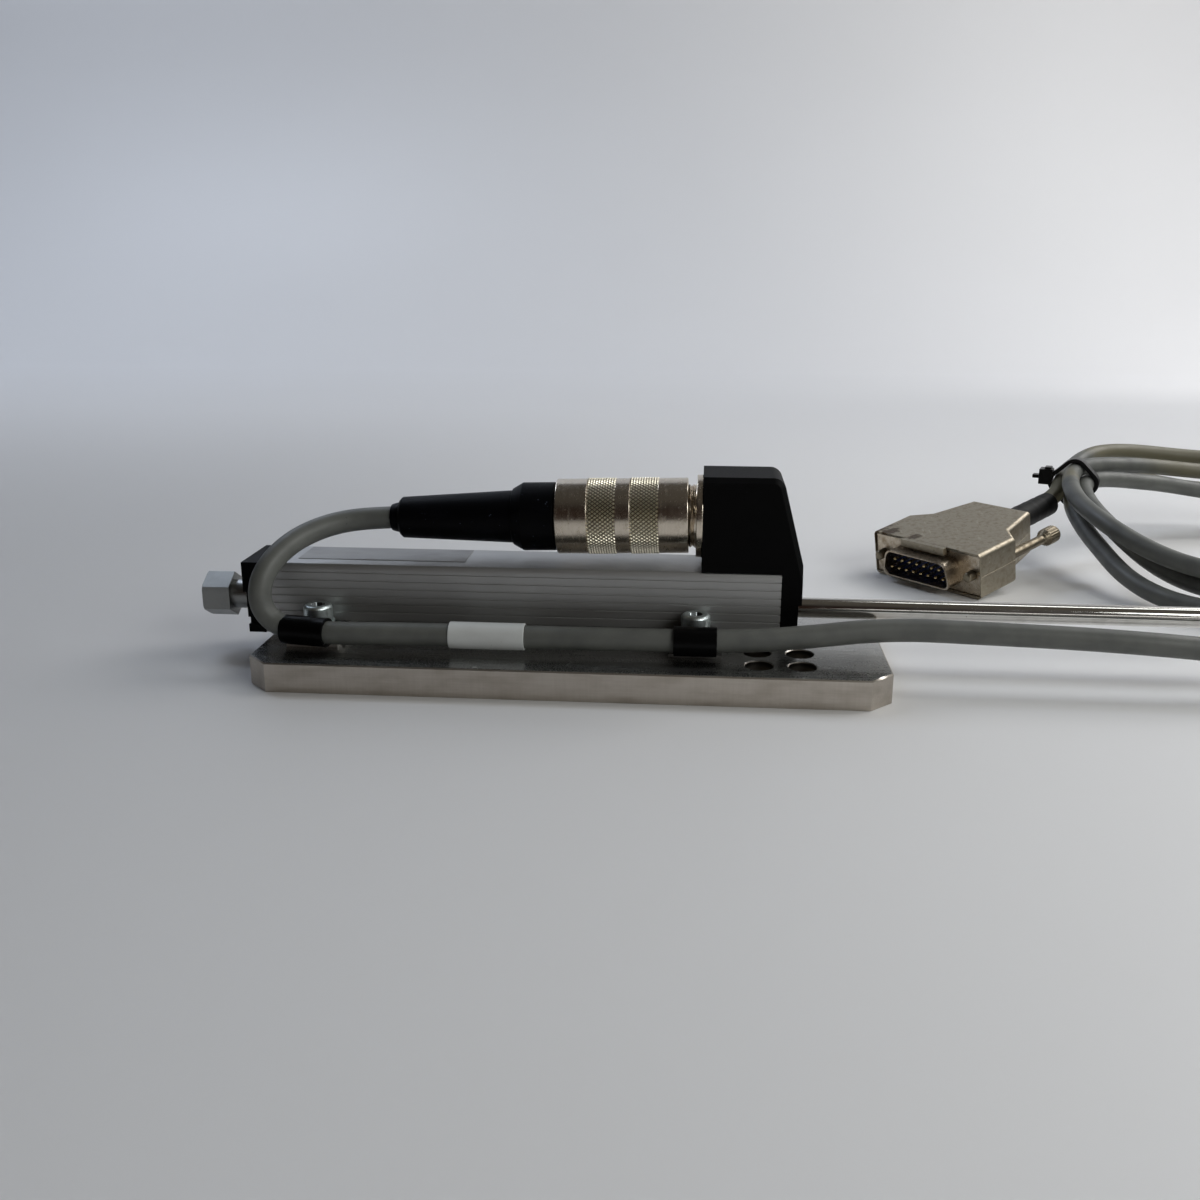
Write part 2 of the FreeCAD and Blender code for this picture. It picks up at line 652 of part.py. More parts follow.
def housing_profile():
    """The extruded square profile: cavity, clamp grooves, screw holes and fine flutes."""
    body = new_body("housing_profile")
    edge = D.profile_edge
    corners = [
        (edge - SIDE, PLATE_TOP),
        (SIDE - edge, PLATE_TOP),
        (SIDE, PLATE_TOP + edge),
        (SIDE, PROFILE_TOP - edge),
        (SIDE - edge, PROFILE_TOP),
        (edge - SIDE, PROFILE_TOP),
        (-SIDE, PROFILE_TOP - edge),
        (-SIDE, PLATE_TOP + edge),
    ]
    cavity = box_corners(-CAVITY_SIDE, CAVITY_SIDE, CAVITY_FLOOR, CAVITY_ROOF)
    length = PROFILE_END - PROFILE_START
    profile = pad(body, "YZ_Plane", corners, length, hole=cavity)
    profile.Profile[0].AttachmentOffset = FreeCAD.Placement()
    bind(profile.Profile[0], "AttachmentOffset.Base.z", PROFILE_START)
    groove_cuts(body)
    screws = sketch_on(body, "YZ_Plane")
    for side in (-1, 1):
        up = PLATE_TOP + D.cap_screw_up
        circle(screws, side * D.cap_screw_out, up, D.cap_screw / 2 + D.screw_clear)
    cut_through(body, screws)
    flutes = sketch_on(body, "YZ_Plane")
    low = PLATE_TOP + D.flute_up - D.flute_wide / 2
    for side in (-1, 1):
        inner = side * (SIDE - D.flute_deep)
        outer = side * (SIDE + D.flute_deep)
        outline(flutes, box_corners(inner, outer, low, low + D.flute_wide))
    cut = cut_through(body, flutes)
    pattern = body.newObject("PartDesign::LinearPattern", "flute_pattern")
    pattern.Originals = [cut]
    pattern.Direction = (flutes, ["V_Axis"])
    pattern.Occurrences = FLUTES
    bind(pattern, "Length", D.flute_pitch * (FLUTES - 1))
    body.Tip = pattern
    node(body, "housing_profile")


def spigot(body, start, end):
    """A cap's spigot that fits the profile's cavity."""
    low = CAVITY_FLOOR + D.spigot_clear
    high = CAVITY_ROOF - D.spigot_clear
    wide = 2 * (CAVITY_SIDE - D.spigot_clear)
    pad(body, "XZ_Plane", box_corners(start, end, low, high), wide, symmetric=True)


def cap_screw_cuts(body, face, inward):
    """Sunk holes for a cap's two screws, cut inward from its outer face."""
    up = PLATE_TOP + D.cap_screw_up
    sunk = D.cap_screw_head_tall
    deep = D.rear_cap_thick + D.spigot_length
    for side in (-1, 1):
        across = side * D.cap_screw_out
        head_start = face if inward > 0 else face - sunk
        shank_start = face if inward > 0 else face - deep
        bore(body, D.cap_screw_head / 2 + D.screw_clear, sunk, (head_start, across, up), "X")
        bore(body, D.cap_screw / 2 + D.screw_clear, deep, (shank_start, across, up), "X")


def rear_cap():
    """The black rear cap with its stepped face and bush bore."""
    body = new_body("rear_cap")
    step_up = PLATE_TOP + D.cap_step_up
    corners = [
        (D.rear_face + D.cap_step, PLATE_TOP),
        (PROFILE_START, PLATE_TOP),
        (PROFILE_START, PROFILE_TOP),
        (D.rear_face, PROFILE_TOP),
        (D.rear_face, step_up),
        (D.rear_face + D.cap_step, step_up),
    ]
    pad(body, "XZ_Plane", corners, D.profile_side, symmetric=True)
    spigot(body, PROFILE_START - D.cap_step, PROFILE_START + D.spigot_length)
    groove_cuts(body)
    length = D.rear_cap_thick + D.spigot_length
    bore(body, CAP_BORE, length, (D.rear_face, 0, ROD_Z), "X")
    cap_screw_cuts(body, D.rear_face, 1)
    node(body, "rear_cap")


def front_head():
    """The front cap and the connector head, one moulding with a slanted front."""
    body = new_body("front_head")
    step_up = PLATE_TOP + D.cap_step_up
    top = PLATE_TOP + D.head_tall
    slope_foot = PLATE_TOP + D.head_slope_up
    slope_top = FRONT_FACE - D.head_slope_run
    corners = [
        (PROFILE_END, PLATE_TOP),
        (FRONT_FACE - D.cap_step, PLATE_TOP),
        (FRONT_FACE - D.cap_step, step_up),
        (FRONT_FACE, step_up),
        (FRONT_FACE, slope_foot),
        (slope_top, top),
        (HEAD_LEFT, top),
        (HEAD_LEFT, PROFILE_TOP),
        (PROFILE_END, PROFILE_TOP),
    ]
    pad(body, "XZ_Plane", corners, D.profile_side, symmetric=True)

    def top_front(middle, ends, edge):
        return near(middle.x, slope_top.value) and near(middle.z, top.value)

    dress(body, "Fillet", "Radius", D.head_round, top_front)
    slope_low = slope_foot.value + D.head_slope_up.value / 4
    slope_high = top.value - D.head_round.value * 2

    def slope_edges(middle, ends, edge):
        beside = near(abs(middle.y), SIDE.value)
        slanted = slope_low < middle.z < slope_high and middle.x > slope_top.value
        return beside and slanted

    dress(body, "Chamfer", "Size", D.head_bevel, slope_edges)
    spigot(body, PROFILE_END - D.spigot_length, PROFILE_END + D.cap_step)
    groove_cuts(body)
    length = D.front_cap_thick + D.spigot_length
    bore(body, CAP_BORE, length, (PROFILE_END - D.spigot_length, 0, ROD_Z), "X")
    cap_screw_cuts(body, FRONT_FACE, -1)
    socket_r = D.socket_body / 2 + D.seat_clear
    bore(body, socket_r, D.socket_depth + D.cap_step, (HEAD_LEFT, 0, SOCKET_Z), "X")
    node(body, "front_head")


def cap_screws():
    """Four small screws that hold the caps to the profile."""
    head_r, shank_r, tall = D.cap_screw_head / 2, D.cap_screw / 2, D.cap_screw_head_tall
    ends = (
        ("rear", D.rear_face, 1, D.rear_cap_thick),
        ("front", FRONT_FACE, -1, D.front_cap_thick),
    )
    for end, face, inward, thick in ends:
        members = []
        for side in (-1, 1):
            length = thick + D.cap_screw_grip
            corners = [
                (0, 0),
                (0, head_r),
                (inward * tall, head_r),
                (inward * tall, shank_r),
                (inward * length, shank_r),
                (inward * length, 0),
            ]
            body = turned(f"cap_screw_{end}_{len(members) + 1}", corners)
            slot_low = (-D.cap_screw_slot, -head_r - tall, -D.cap_screw_slot / 2)
            slot_high = (D.cap_screw_slot, head_r + tall, D.cap_screw_slot / 2)
            block(body, "SubtractiveBox", slot_low, slot_high)
            place(body, face, side * D.cap_screw_out, PLATE_TOP + D.cap_screw_up)
            members.append(body)
        group(f"cap_screws_{end}", members)


def rod_guides():
    """Bushes and wiper rings where the rod passes the caps."""
    rear_inside = PROFILE_START + D.spigot_length
    front_inside = PROFILE_END - D.spigot_length
    front_mouth = FRONT_FACE - D.cap_step
    pieces = (
        ("rear_wiper", D.rear_face, D.rear_face + D.wiper_ring),
        ("rear_bush", D.rear_face + D.wiper_ring, rear_inside),
        ("front_bush", front_inside, front_mouth - D.wiper_ring),
        ("front_wiper", front_mouth - D.wiper_ring, front_mouth),
    )
    for label, start, end in pieces:
        body = tube(label, start, end, BUSH_BORE, BUSH_R)
        node(place(body, 0, 0, ROD_Z), label)


def resistance_element():
    """The resistance track under the roof of the cavity."""
    body = new_body("resistance_element")
    start = PROFILE_START + D.track_margin
    low = (start, -D.track_wide / 2, CAVITY_ROOF - D.track_thick)
    high = (start + D.track_length, D.track_wide / 2, CAVITY_ROOF)
    block(body, "AdditiveBox", low, high)
    node(body, "resistance_element")


def type_plate():
    """The bare type plate on the housing's top."""
    body = new_body("type_plate")
    start = PROFILE_START + D.label_setback
    low = (start, D.label_side - D.label_wide / 2, PROFILE_TOP)
    high = (start + D.label_length, D.label_side + D.label_wide / 2, PROFILE_TOP + D.label_thick)
    block(body, "AdditiveBox", low, high)
    node(body, "type_plate")


def push_rod():
    """The polished rod, grooved for its retaining rings and bored for its tip."""
    groove_r = ROD_R - D.ring_groove
    stud_r = D.tip_stud / 2 + D.seat_clear
    stud_end = ROD_FRONT - D.tip_stud_length
    corners = [(ROD_REAR, 0), (ROD_REAR, ROD_R)]
    for start in (CARRIER_REAR - D.ring_thick, CARRIER_FRONT):
        corners += [
            (start, ROD_R),
            (start, groove_r),
            (start + D.ring_thick, groove_r),
            (start + D.ring_thick, ROD_R),
        ]
    corners += [
        (ROD_FRONT - D.rod_chamfer, ROD_R),
        (ROD_FRONT, ROD_R - D.rod_chamfer),
        (ROD_FRONT, stud_r),
        (stud_end, stud_r),
        (stud_end, 0),
    ]
    body = turned("push_rod", corners)
    node(place(body, 0, 0, ROD_Z), "push_rod")


def ball_tip():
    """The ball at the rod's end, seated on the rod's face by its stud."""
    body = new_body("ball_tip")
    ball_r = D.tip_ball / 2
    middle = ROD_FRONT + D.tip_seat - ball_r
    shape_in(body, "AdditiveSphere", {"Radius": ball_r}, (middle, 0, 0))
    back = middle - D.tip_ball
    block(body, "SubtractiveBox", (back, -D.tip_ball, -D.tip_ball), (ROD_FRONT, D.tip_ball, D.tip_ball))
    stud_start = ROD_FRONT - D.tip_stud_length
    boss(body, D.tip_stud / 2, D.tip_stud_length + D.tip_seat / 2, (stud_start, 0, 0), "X")
    node(place(body, 0, 0, ROD_Z), "ball_tip")


def rear_stop():
    """The hexagonal stop on the rod's rear end, with its round neck."""
    body = new_body("rear_stop")
    corner_r = D.stop_flats / math.sqrt(3)
    prism(body, "AdditivePrism", 6, corner_r, D.stop_length, (HEX_REAR, 0, 0), "X")
    neck_r = ROD_R + D.neck_wall
    boss(body, neck_r, D.neck_length + D.stop_wall, (HEX_FRONT - D.stop_wall, 0, 0), "X")
    sketch = sketch_on(body, "XZ_Plane")
    flat_r = D.stop_flats / 2
    slope_r = corner_r + D.stop_chamfer
    triangle = [
        (HEX_REAR - D.stop_chamfer, flat_r - D.stop_chamfer),
        (HEX_REAR + D.stop_chamfer, slope_r),
        (HEX_REAR - D.stop_chamfer, slope_r),
    ]
    outline(sketch, triangle)
    groove = body.newObject("PartDesign::Groove", "stop_bevel")
    groove.Profile = sketch
    groove.ReferenceAxis = (sketch, ["H_Axis"])
    groove.Angle = 360
    bore(body, ROD_R + D.seat_clear, NECK_FRONT - ROD_REAR, (ROD_REAR, 0, 0), "X")
    node(place(body, 0, 0, ROD_Z), "rear_stop")


def rod_rings():
    """The stop's buffer and the carrier's two retaining rings."""
    buffer_ring = tube("stop_buffer", NECK_FRONT, STOP_FRONT, ROD_R + D.seat_clear, ROD_R + D.neck_wall)
    node(place(buffer_ring, 0, 0, ROD_Z), "stop_buffer")
    inner = ROD_R - D.ring_groove + D.seat_clear
    outer = inner + D.ring_wall
    members = []
    for start in (CARRIER_REAR - D.ring_thick, CARRIER_FRONT):
        ring = tube(f"retaining_ring_{len(members) + 1}", start, start + D.ring_thick, inner, outer)
        members.append(place(ring, 0, 0, ROD_Z))
    group("retaining_rings", members)


def wiper_carrier():
    """The moulded carrier that the rod pushes along the cavity."""
    body = new_body("wiper_carrier")
    wide = CAVITY_SIDE - D.carrier_clear
    corners = box_corners(-wide, wide, CAVITY_FLOOR + D.carrier_clear, CARRIER_TOP)
    carrier = pad(body, "YZ_Plane", corners, D.carrier_length)
    bind(carrier.Profile[0], "AttachmentOffset.Base.z", CARRIER_REAR)
    bore(body, ROD_R + D.seat_clear, D.carrier_length, (CARRIER_REAR, 0, ROD_Z), "X")
    node(body, "wiper_carrier")


def wiper_contacts():
    """Two bent contact springs on the carrier's top."""
    tall = D.contact_tall - D.contact_gap
    sheet = D.contact_sheet
    foot, bend, end = D.carrier_length / 12, D.carrier_length / 3, D.carrier_length
    corners = [
        (foot, 0),
        (bend, 0),
        (end - foot * 2, tall - sheet),
        (end, tall - sheet),
        (end, tall),
        (end - foot * 2, tall),
        (bend, sheet),
        (foot, sheet),
    ]
    members = []
    for side in (-1, 1):
        body = new_body(f"contact_{len(members) + 1}")
        pad(body, "XZ_Plane", corners, D.contact_wide, symmetric=True)
        members.append(place(body, CARRIER_REAR, side * D.contact_out, CARRIER_TOP))
    group("wiper_contacts", members)


def return_spring():
    """The coil spring between the rear cap and the carrier, as a fine many-sided wire."""
    start = PROFILE_START.value + D.spigot_length.value + D.spring_wire.value / 2
    end = CARRIER_REAR.value - D.ring_thick.value - D.spring_wire.value / 2
    wire_r = D.spring_wire.value / 2
    middle_r = ROD_R.value + D.spring_gap.value + wire_r
    steps = SPRING_TURNS * SPRING_STEPS
    points = []
    for step in range(steps + 1):
        angle = 2 * math.pi * step / SPRING_STEPS
        along = start + (end - start) * step / steps
        points.append(FreeCAD.Vector(along, middle_r * math.cos(angle), middle_r * math.sin(angle)))
    ahead = (points[1] - points[0]).normalize()
    out = FreeCAD.Vector(0, 1, 0)
    out = (out - ahead * out.dot(ahead)).normalize()
    side = ahead.cross(out)
    section = []
    for index in range(SPRING_SIDES + 1):
        angle = 2 * math.pi * index / SPRING_SIDES
        section.append(points[0] + out * (wire_r * math.cos(angle)) + side * (wire_r * math.sin(angle)))
    sweep = Part.BRepOffsetAPI.MakePipeShell(Part.makePolygon(points))
    sweep.setTransitionMode(1)
    sweep.add(Part.makePolygon(section))
    sweep.build()
    sweep.makeSolid()
    item = DOC.addObject("Part::Feature", "return_spring")
    item.Shape = sweep.shape()
    item.Placement = FreeCAD.Placement(FreeCAD.Vector(0, 0, ROD_Z.value), FreeCAD.Rotation())
    node(item, "return_spring")


def clamp(label, spot, side):
    """A bent sheet clamp: its nose in the housing's groove, its foot on the plate."""
    body = new_body(label)
    top = D.groove_up + D.clamp_nose
    under = top - D.clamp_sheet
    heel = D.clamp_foot - D.clamp_foot_wide
    nose_end = D.clamp_nose / 4
    section = [
        (-D.clamp_nose_in, D.groove_up),
        (-D.clamp_nose_in, top),
        (D.clamp_shelf, top),
        (heel + D.clamp_sheet * 1.2, D.clamp_nose),
        (D.clamp_foot, D.clamp_nose),
        (D.clamp_foot, 0),
        (heel, 0),
        (D.clamp_shelf - D.clamp_sheet, under),
        (nose_end, under),
        (nose_end, D.groove_up),
    ]
    corners = [(side * (SIDE + out), PLATE_TOP + up) for out, up in section]
    pad(body, "YZ_Plane", corners, D.clamp_wide, symmetric=True)
    bore(body, D.clamp_hole / 2, PLATE_TOP + top, (0, side * BOLT_Y, 0), "Z")
    node(place(body, spot, 0, 0), label)


def clamps():
    places = (
        ("clamp_front_left", D.rear_clamp_x, -1),
        ("clamp_front_right", D.front_clamp_x, -1),
        ("clamp_back_left", D.rear_clamp_x, 1),
        ("clamp_back_right", D.front_clamp_x, 1),
    )
    for label, spot, side in places:
        clamp(label, spot, side)


def clamp_screws():
    """Socket head screws and washers: on the clip tabs in front, on the clamps behind."""
    screws = []
    washers = []
    tab = D.clip_strap * 2
    for spot in (D.rear_clamp_x, D.front_clamp_x):
        for side, seat in ((-1, CLAMP_TOP + tab), (1, CLAMP_TOP)):
            mark = len(screws) + 1
            hole_r = D.bolt / 2 + D.washer_clear
            ring = turned(
                f"washer_{mark}",
                box_corners(hole_r, D.washer / 2, 0, D.washer_thick),
                axis="V_Axis",
            )
            washers.append(place(ring, spot, side * BOLT_Y, seat))
            under_head = seat + D.washer_thick
            length = under_head - D.bolt_end_up
            head_r, shank_r = D.bolt_head / 2, D.bolt / 2
            chamfer = D.bolt_head_tall / 12
            corners = [
                (0, -length),
                (shank_r, -length),
                (shank_r, 0),
                (head_r, 0),
                (head_r, D.bolt_head_tall - chamfer),
                (head_r - chamfer, D.bolt_head_tall),
                (0, D.bolt_head_tall),
            ]
            screw = turned(f"clamp_screw_{mark}", corners, axis="V_Axis")
            corner_r = D.bolt_socket / math.sqrt(3)
            floor = D.bolt_head_tall - D.bolt_socket_deep
            prism(screw, "SubtractivePrism", 6, corner_r, D.bolt_socket_deep, (0, 0, floor))
            screws.append(place(screw, spot, side * BOLT_Y, under_head))
    group("clamp_screws", screws)
    group("clamp_washers", washers)


def cable_clip(label, spot, angle):
    """A strap clip: a loop round the cable and a doubled tab under the screw."""
    body = new_body(label)
    loop_r = CABLE_R + D.clip_clear
    wide = D.clip_wide / 2
    tab = D.clip_strap * 2
    block(body, "AdditiveBox", (-wide, -D.clip_reach, 0), (wide, D.clip_back, tab))
    middle = (-wide, -D.clip_reach, D.clip_loop_up)
    boss(body, loop_r + D.clip_strap, D.clip_wide, middle, "X")
    bore(body, loop_r, D.clip_wide, middle, "X")
    bore(body, D.clamp_hole / 2, tab, (0, 0, 0), "Z")
    rotation = FreeCAD.Rotation(FreeCAD.Vector(0, 0, 1), angle)
    node(place(body, spot, -BOLT_Y, CLAMP_TOP, rotation), label)


def cable_tag():
    """A bare sleeve on the cable's straight run."""
    body = tube("cable_tag", 0, D.tag_length, CABLE_BORE, CABLE_BORE + D.tag_wall)
    node(place(body, D.tag_start, -D.cable_side, D.cable_up), "cable_tag")


def socket():
    """The threaded socket in the head, with its insert and pins."""
    thread_r, body_r, bore_r = D.socket_thread / 2, D.socket_body / 2, D.socket_bore / 2
    flange_r = D.socket_flange / 2
    corners = [
        (-D.socket_reach, bore_r),
        (-D.socket_reach, thread_r),
        (-D.socket_flange_thick, thread_r),
        (-D.socket_flange_thick, flange_r),
        (0, flange_r),
        (0, body_r),
        (D.socket_depth, body_r),
        (D.socket_depth, bore_r),
    ]
    shell = turned("socket_shell", corners)
    node(place(shell, HEAD_LEFT, 0, SOCKET_Z), "socket_shell")
    insert = new_body("socket_insert")
    boss(insert, bore_r - D.seat_clear, D.insert_length, (-D.insert_front, 0, 0), "X")
    pins = []
    for index in range(SOCKET_PINS):
        angle = 2 * math.pi * index / SOCKET_PINS
        across = D.pin_circle / 2 * math.cos(angle)
        up = D.pin_circle / 2 * math.sin(angle)
        face = (-D.insert_front, across, up)
        prism(insert, "SubtractivePrism", PIN_SIDES, D.pin / 2 + D.seat_clear, D.insert_length, face, "X")
        pin = new_body(f"socket_pin_{index + 1}")
        tip = (-D.pin_reach, across, up)
        prism(pin, "AdditivePrism", PIN_SIDES, D.pin / 2, D.pin_reach + D.pin_tail, tip, "X")
        pins.append(place(pin, HEAD_LEFT, 0, SOCKET_Z))
    node(place(insert, HEAD_LEFT, 0, SOCKET_Z), "socket_insert")
    group("socket_pins", pins)


def on_plug(body, label):
    """Put a piece of the drooping plug at the plug's datum."""
    rotation = FreeCAD.Rotation(FreeCAD.Vector(0, 1, 0), -PLUG_DROOP)
    return node(place(body, PLUG_X, 0, SOCKET_Z, rotation), label)


def coupling_ring():
    """The plated coupling ring with two raised bands and a threaded front bore."""
    outer_r, band_r, edge = D.ring_dia / 2, D.knurl_dia / 2, D.ring_edge
    thread_r = D.socket_thread / 2 + D.ring_thread_clear
    tube_r = D.plug_tube / 2 + D.ring_clear
    corners = [(RING_REAR, tube_r), (RING_REAR, outer_r - edge), (RING_REAR + edge, outer_r)]
    for front in (D.rear_knurl, D.front_knurl):
        rear = -front - D.knurl_length
        corners += [(rear, outer_r), (rear, band_r), (-front, band_r), (-front, outer_r)]
    corners += [
        (D.ring_front - edge, outer_r),
        (D.ring_front, outer_r - edge),
        (D.ring_front, thread_r),
        (-D.ring_lip, thread_r),
        (-D.ring_lip, tube_r),
    ]
    on_plug(turned("coupling_ring", corners), "coupling_ring")


def plug():
    """The plug inside the ring: shell with flange, insert, rear sleeve and cable boot."""
    bore_r, nose_r, tube_r = D.nose_bore / 2, D.nose / 2, D.plug_tube / 2
    flange_r = D.plug_flange / 2
    corners = [
        (TUBE_REAR, bore_r),
        (TUBE_REAR, tube_r),
        (FLANGE_REAR, tube_r),
        (FLANGE_REAR, flange_r),
        (FLANGE_FRONT, flange_r),
        (FLANGE_FRONT, nose_r),
        (D.nose_front, nose_r),
        (D.nose_front, bore_r),
    ]
    on_plug(turned("plug_body", corners), "plug_body")
    insert = new_body("plug_insert")
    start = D.plug_insert_front - D.plug_insert_length
    boss(insert, bore_r - D.seat_clear, D.plug_insert_length, (start, 0, 0), "X")
    for index in range(SOCKET_PINS):
        angle = 2 * math.pi * index / SOCKET_PINS
        across = D.pin_circle / 2 * math.cos(angle)
        up = D.pin_circle / 2 * math.sin(angle)
        hole_r = D.pin / 2 + D.pin_play
        prism(insert, "SubtractivePrism", PIN_SIDES, hole_r, D.plug_insert_length, (start, across, up), "X")
    on_plug(insert, "plug_insert")
    sleeve_r, boot_r = D.sleeve_dia / 2, D.boot_dia / 2
    mouth_r = boot_r + D.seat_clear
    corners = [
        (SLEEVE_REAR, mouth_r),
        (SLEEVE_REAR, tube_r),
        (SLEEVE_REAR + D.sleeve_shoulder, sleeve_r),
        (SLEEVE_FRONT, sleeve_r),
        (SLEEVE_FRONT, tube_r + D.seat_clear),
        (TUBE_REAR, tube_r + D.seat_clear),
        (TUBE_REAR, mouth_r),
    ]
    sleeve = turned("rear_sleeve", corners)
    rear = SLEEVE_REAR - D.sleeve_shoulder
    flats_end = SLEEVE_REAR + D.sleeve_shoulder
    for side in (-1, 1):
        near_y = side * D.sleeve_flats / 2
        far_y = side * D.sleeve_dia
        low_y, high_y = (near_y, far_y) if side > 0 else (far_y, near_y)
        low = (rear, low_y, -D.sleeve_dia)
        high = (flats_end, high_y, D.sleeve_dia)
        block(sleeve, "SubtractiveBox", low, high)
    on_plug(sleeve, "rear_sleeve")
    end_r, edge = D.boot_end_dia / 2, D.boot_edge
    collar_r = CABLE_BORE + D.collar_wall
    corners = [
        (COLLAR_END, CABLE_BORE),
        (COLLAR_END, collar_r),
        (BOOT_END, collar_r),
        (BOOT_END, end_r - edge),
        (BOOT_END + edge, end_r),
        (SLEEVE_REAR, boot_r),
        (TUBE_REAR, boot_r),
        (TUBE_REAR, CABLE_BORE),
    ]
    on_plug(turned("cable_boot", corners), "cable_boot")


def cord(label, route, radius):
    """A cord's solid: straight runs joined by arcs as large as the runs allow."""
    points = [FreeCAD.Vector(*spot) for spot in route]
    edges = []
    radii = []
    here = points[0]
    for before, corner, after in zip(points, points[1:], points[2:]):
        back, ahead = before - corner, after - corner
        reach = 0.45 * min(back.Length, ahead.Length)
        turn_angle = math.pi - back.getAngle(ahead)
        arc_r = reach / math.tan(turn_angle / 2)
        radii.append(round(arc_r, 1))
        start = corner + back.normalize() * reach
        end = corner + ahead.normalize() * reach
        inward = (back + ahead).normalize()
        sagitta = math.hypot(reach, arc_r) - arc_r
        edges.append(Part.LineSegment(here, start).toShape())
        edges.append(Part.Arc(start, corner + inward * sagitta, end).toShape())
        here = end
    edges.append(Part.LineSegment(here, points[-1]).toShape())
    path = Part.Wire(edges)
    ahead = (points[1] - points[0]).normalize()
    side = ahead.cross(FreeCAD.Vector(0, 0, 1)).normalize()
    up = side.cross(ahead)
    ring = []
    for index in range(CORD_SIDES + 1):
        angle = 2 * math.pi * index / CORD_SIDES
        ring.append(points[0] + side * (radius * math.cos(angle)) + up * (radius * math.sin(angle)))
    section = Part.makePolygon(ring)
    item = DOC.addObject("Part::Feature", label)
    item.Shape = path.makePipeShell([section], True, False)
    expected = Part.Face(section).Area * path.Length
    print(label, "length", round(path.Length, 1), "radii", radii)
    print(label, "volume", round(item.Shape.Volume, 1), "expected", round(expected, 1))
    node(item, label)


def cable_coil():
    """The tied coil of cable, as one ring that leans on the connector."""
    angle = math.radians(COIL_TIE_ANGLE)
    toward = FreeCAD.Vector(math.cos(angle), math.sin(angle), 0)
    normal = FreeCAD.Vector(0, 0, 1) - toward * COIL_RISE
    tilt = FreeCAD.Rotation(FreeCAD.Vector(0, 0, 1), normal)
    corners = []
    for index in range(COIL_SIDES):
        spot = 2 * math.pi * index / COIL_SIDES
        across = D.coil_radius + D.coil_bundle / 2 * math.cos(spot)
        corners.append((across, D.coil_bundle / 2 * math.sin(spot)))
    ring = turned("cable_coil", corners, axis="V_Axis")
    node(place(ring, D.coil_x, D.coil_y, D.coil_up, tilt), "cable_coil")
    inner = D.coil_bundle / 2 + D.tie_clear
    outer = inner + D.tie_thick
    wide = D.tie_wide / 2
    tie = tube("cable_tie", -wide, wide, inner, outer)
    lock = D.tie_head_wide / 2
    block(tie, "AdditiveBox", (-lock, inner + D.tie_thick / 3, -lock), (lock, outer + D.tie_head, lock))
    side = FreeCAD.Vector(-math.sin(angle), math.cos(angle), 0)
    out = side.cross(tilt.multVec(FreeCAD.Vector(0, 0, 1))).normalize()
    reach = D.coil_radius
    spot = (D.coil_x + reach * out.x, D.coil_y + reach * out.y, D.coil_up + reach * out.z)
    turn_to = FreeCAD.Rotation(side * -1, out, FreeCAD.Vector(), "XYZ")
    node(place(tie, *spot, turn_to), "cable_tie")


def at_connector(body):
    return place(body, D.connector_x, D.connector_y, D.connector_up, CONNECTOR_TURN)


def on_connector(body, label):
    """Put a piece of the end connector where the connector lies."""
    return node(at_connector(body), label)


def shell_corners(inset):
    """The connector's D outline, drawn in by an inset: wide side down."""
    low_x = D.shell_wide / 2 - inset
    high_x = D.shell_wide / 2 - D.shell_lean - inset
    up = D.shell_tall / 2 - inset
    return [(-low_x, -up), (low_x, -up), (high_x, up), (-high_x, up)]


def connector_shell():
    """The pressed shell of the connector: flange, screw holes and D-shaped collar."""
    body = new_body("connector_shell")
    inner = shell_corners(D.shell_wall)
    pad(body, "XZ_Plane", shell_corners(0), D.shell_out, hole=inner)
    wide, tall = D.flange_wide / 2, D.flange_tall / 2
    corners = box_corners(-wide, wide, -tall, tall)
    pad(body, "XZ_Plane", corners, D.flange_thick, backwards=True, hole=inner)
    for side in (-1, 1):
        spot = (side * D.lock_pitch / 2, 0, 0)
        bore(body, D.lock_screw / 2 + D.lock_clear, D.flange_thick, spot, "Y")
    on_connector(body, "connector_shell")
    insulator = new_body("connector_insulator")
    sketch = outline(sketch_on(insulator, "XZ_Plane"), shell_corners(D.shell_wall + D.seat_clear))
    slab = insulator.newObject("PartDesign::Pad", "insulator_pad")
    slab.Profile = sketch
    slab.Reversed = True
    bind(slab, "Length", D.insulator_length)
    bind(sketch, "AttachmentOffset.Base.z", D.insulator_front)
    pins = []
    for up, count in ((-D.pin_row, LOWER_CONTACTS), (D.pin_row, UPPER_CONTACTS)):
        for index in range(count):
            across = D.pin_pitch * (index - (count - 1) / 2)
            start = (across, -D.insulator_front, up)
            hole_r = D.pin / 2 + D.seat_clear
            prism(insulator, "SubtractivePrism", PIN_SIDES, hole_r, D.insulator_length, start, "Y")
            pin = new_body(f"contact_pin_{len(pins) + 1}")
            tip = (across, -D.pin_front, up)
            prism(pin, "AdditivePrism", PIN_SIDES, D.pin / 2, D.pin_front + D.pin_back, tip, "Y")
            pins.append(at_connector(pin))
    on_connector(insulator, "connector_insulator")
    group("connector_pins", pins)


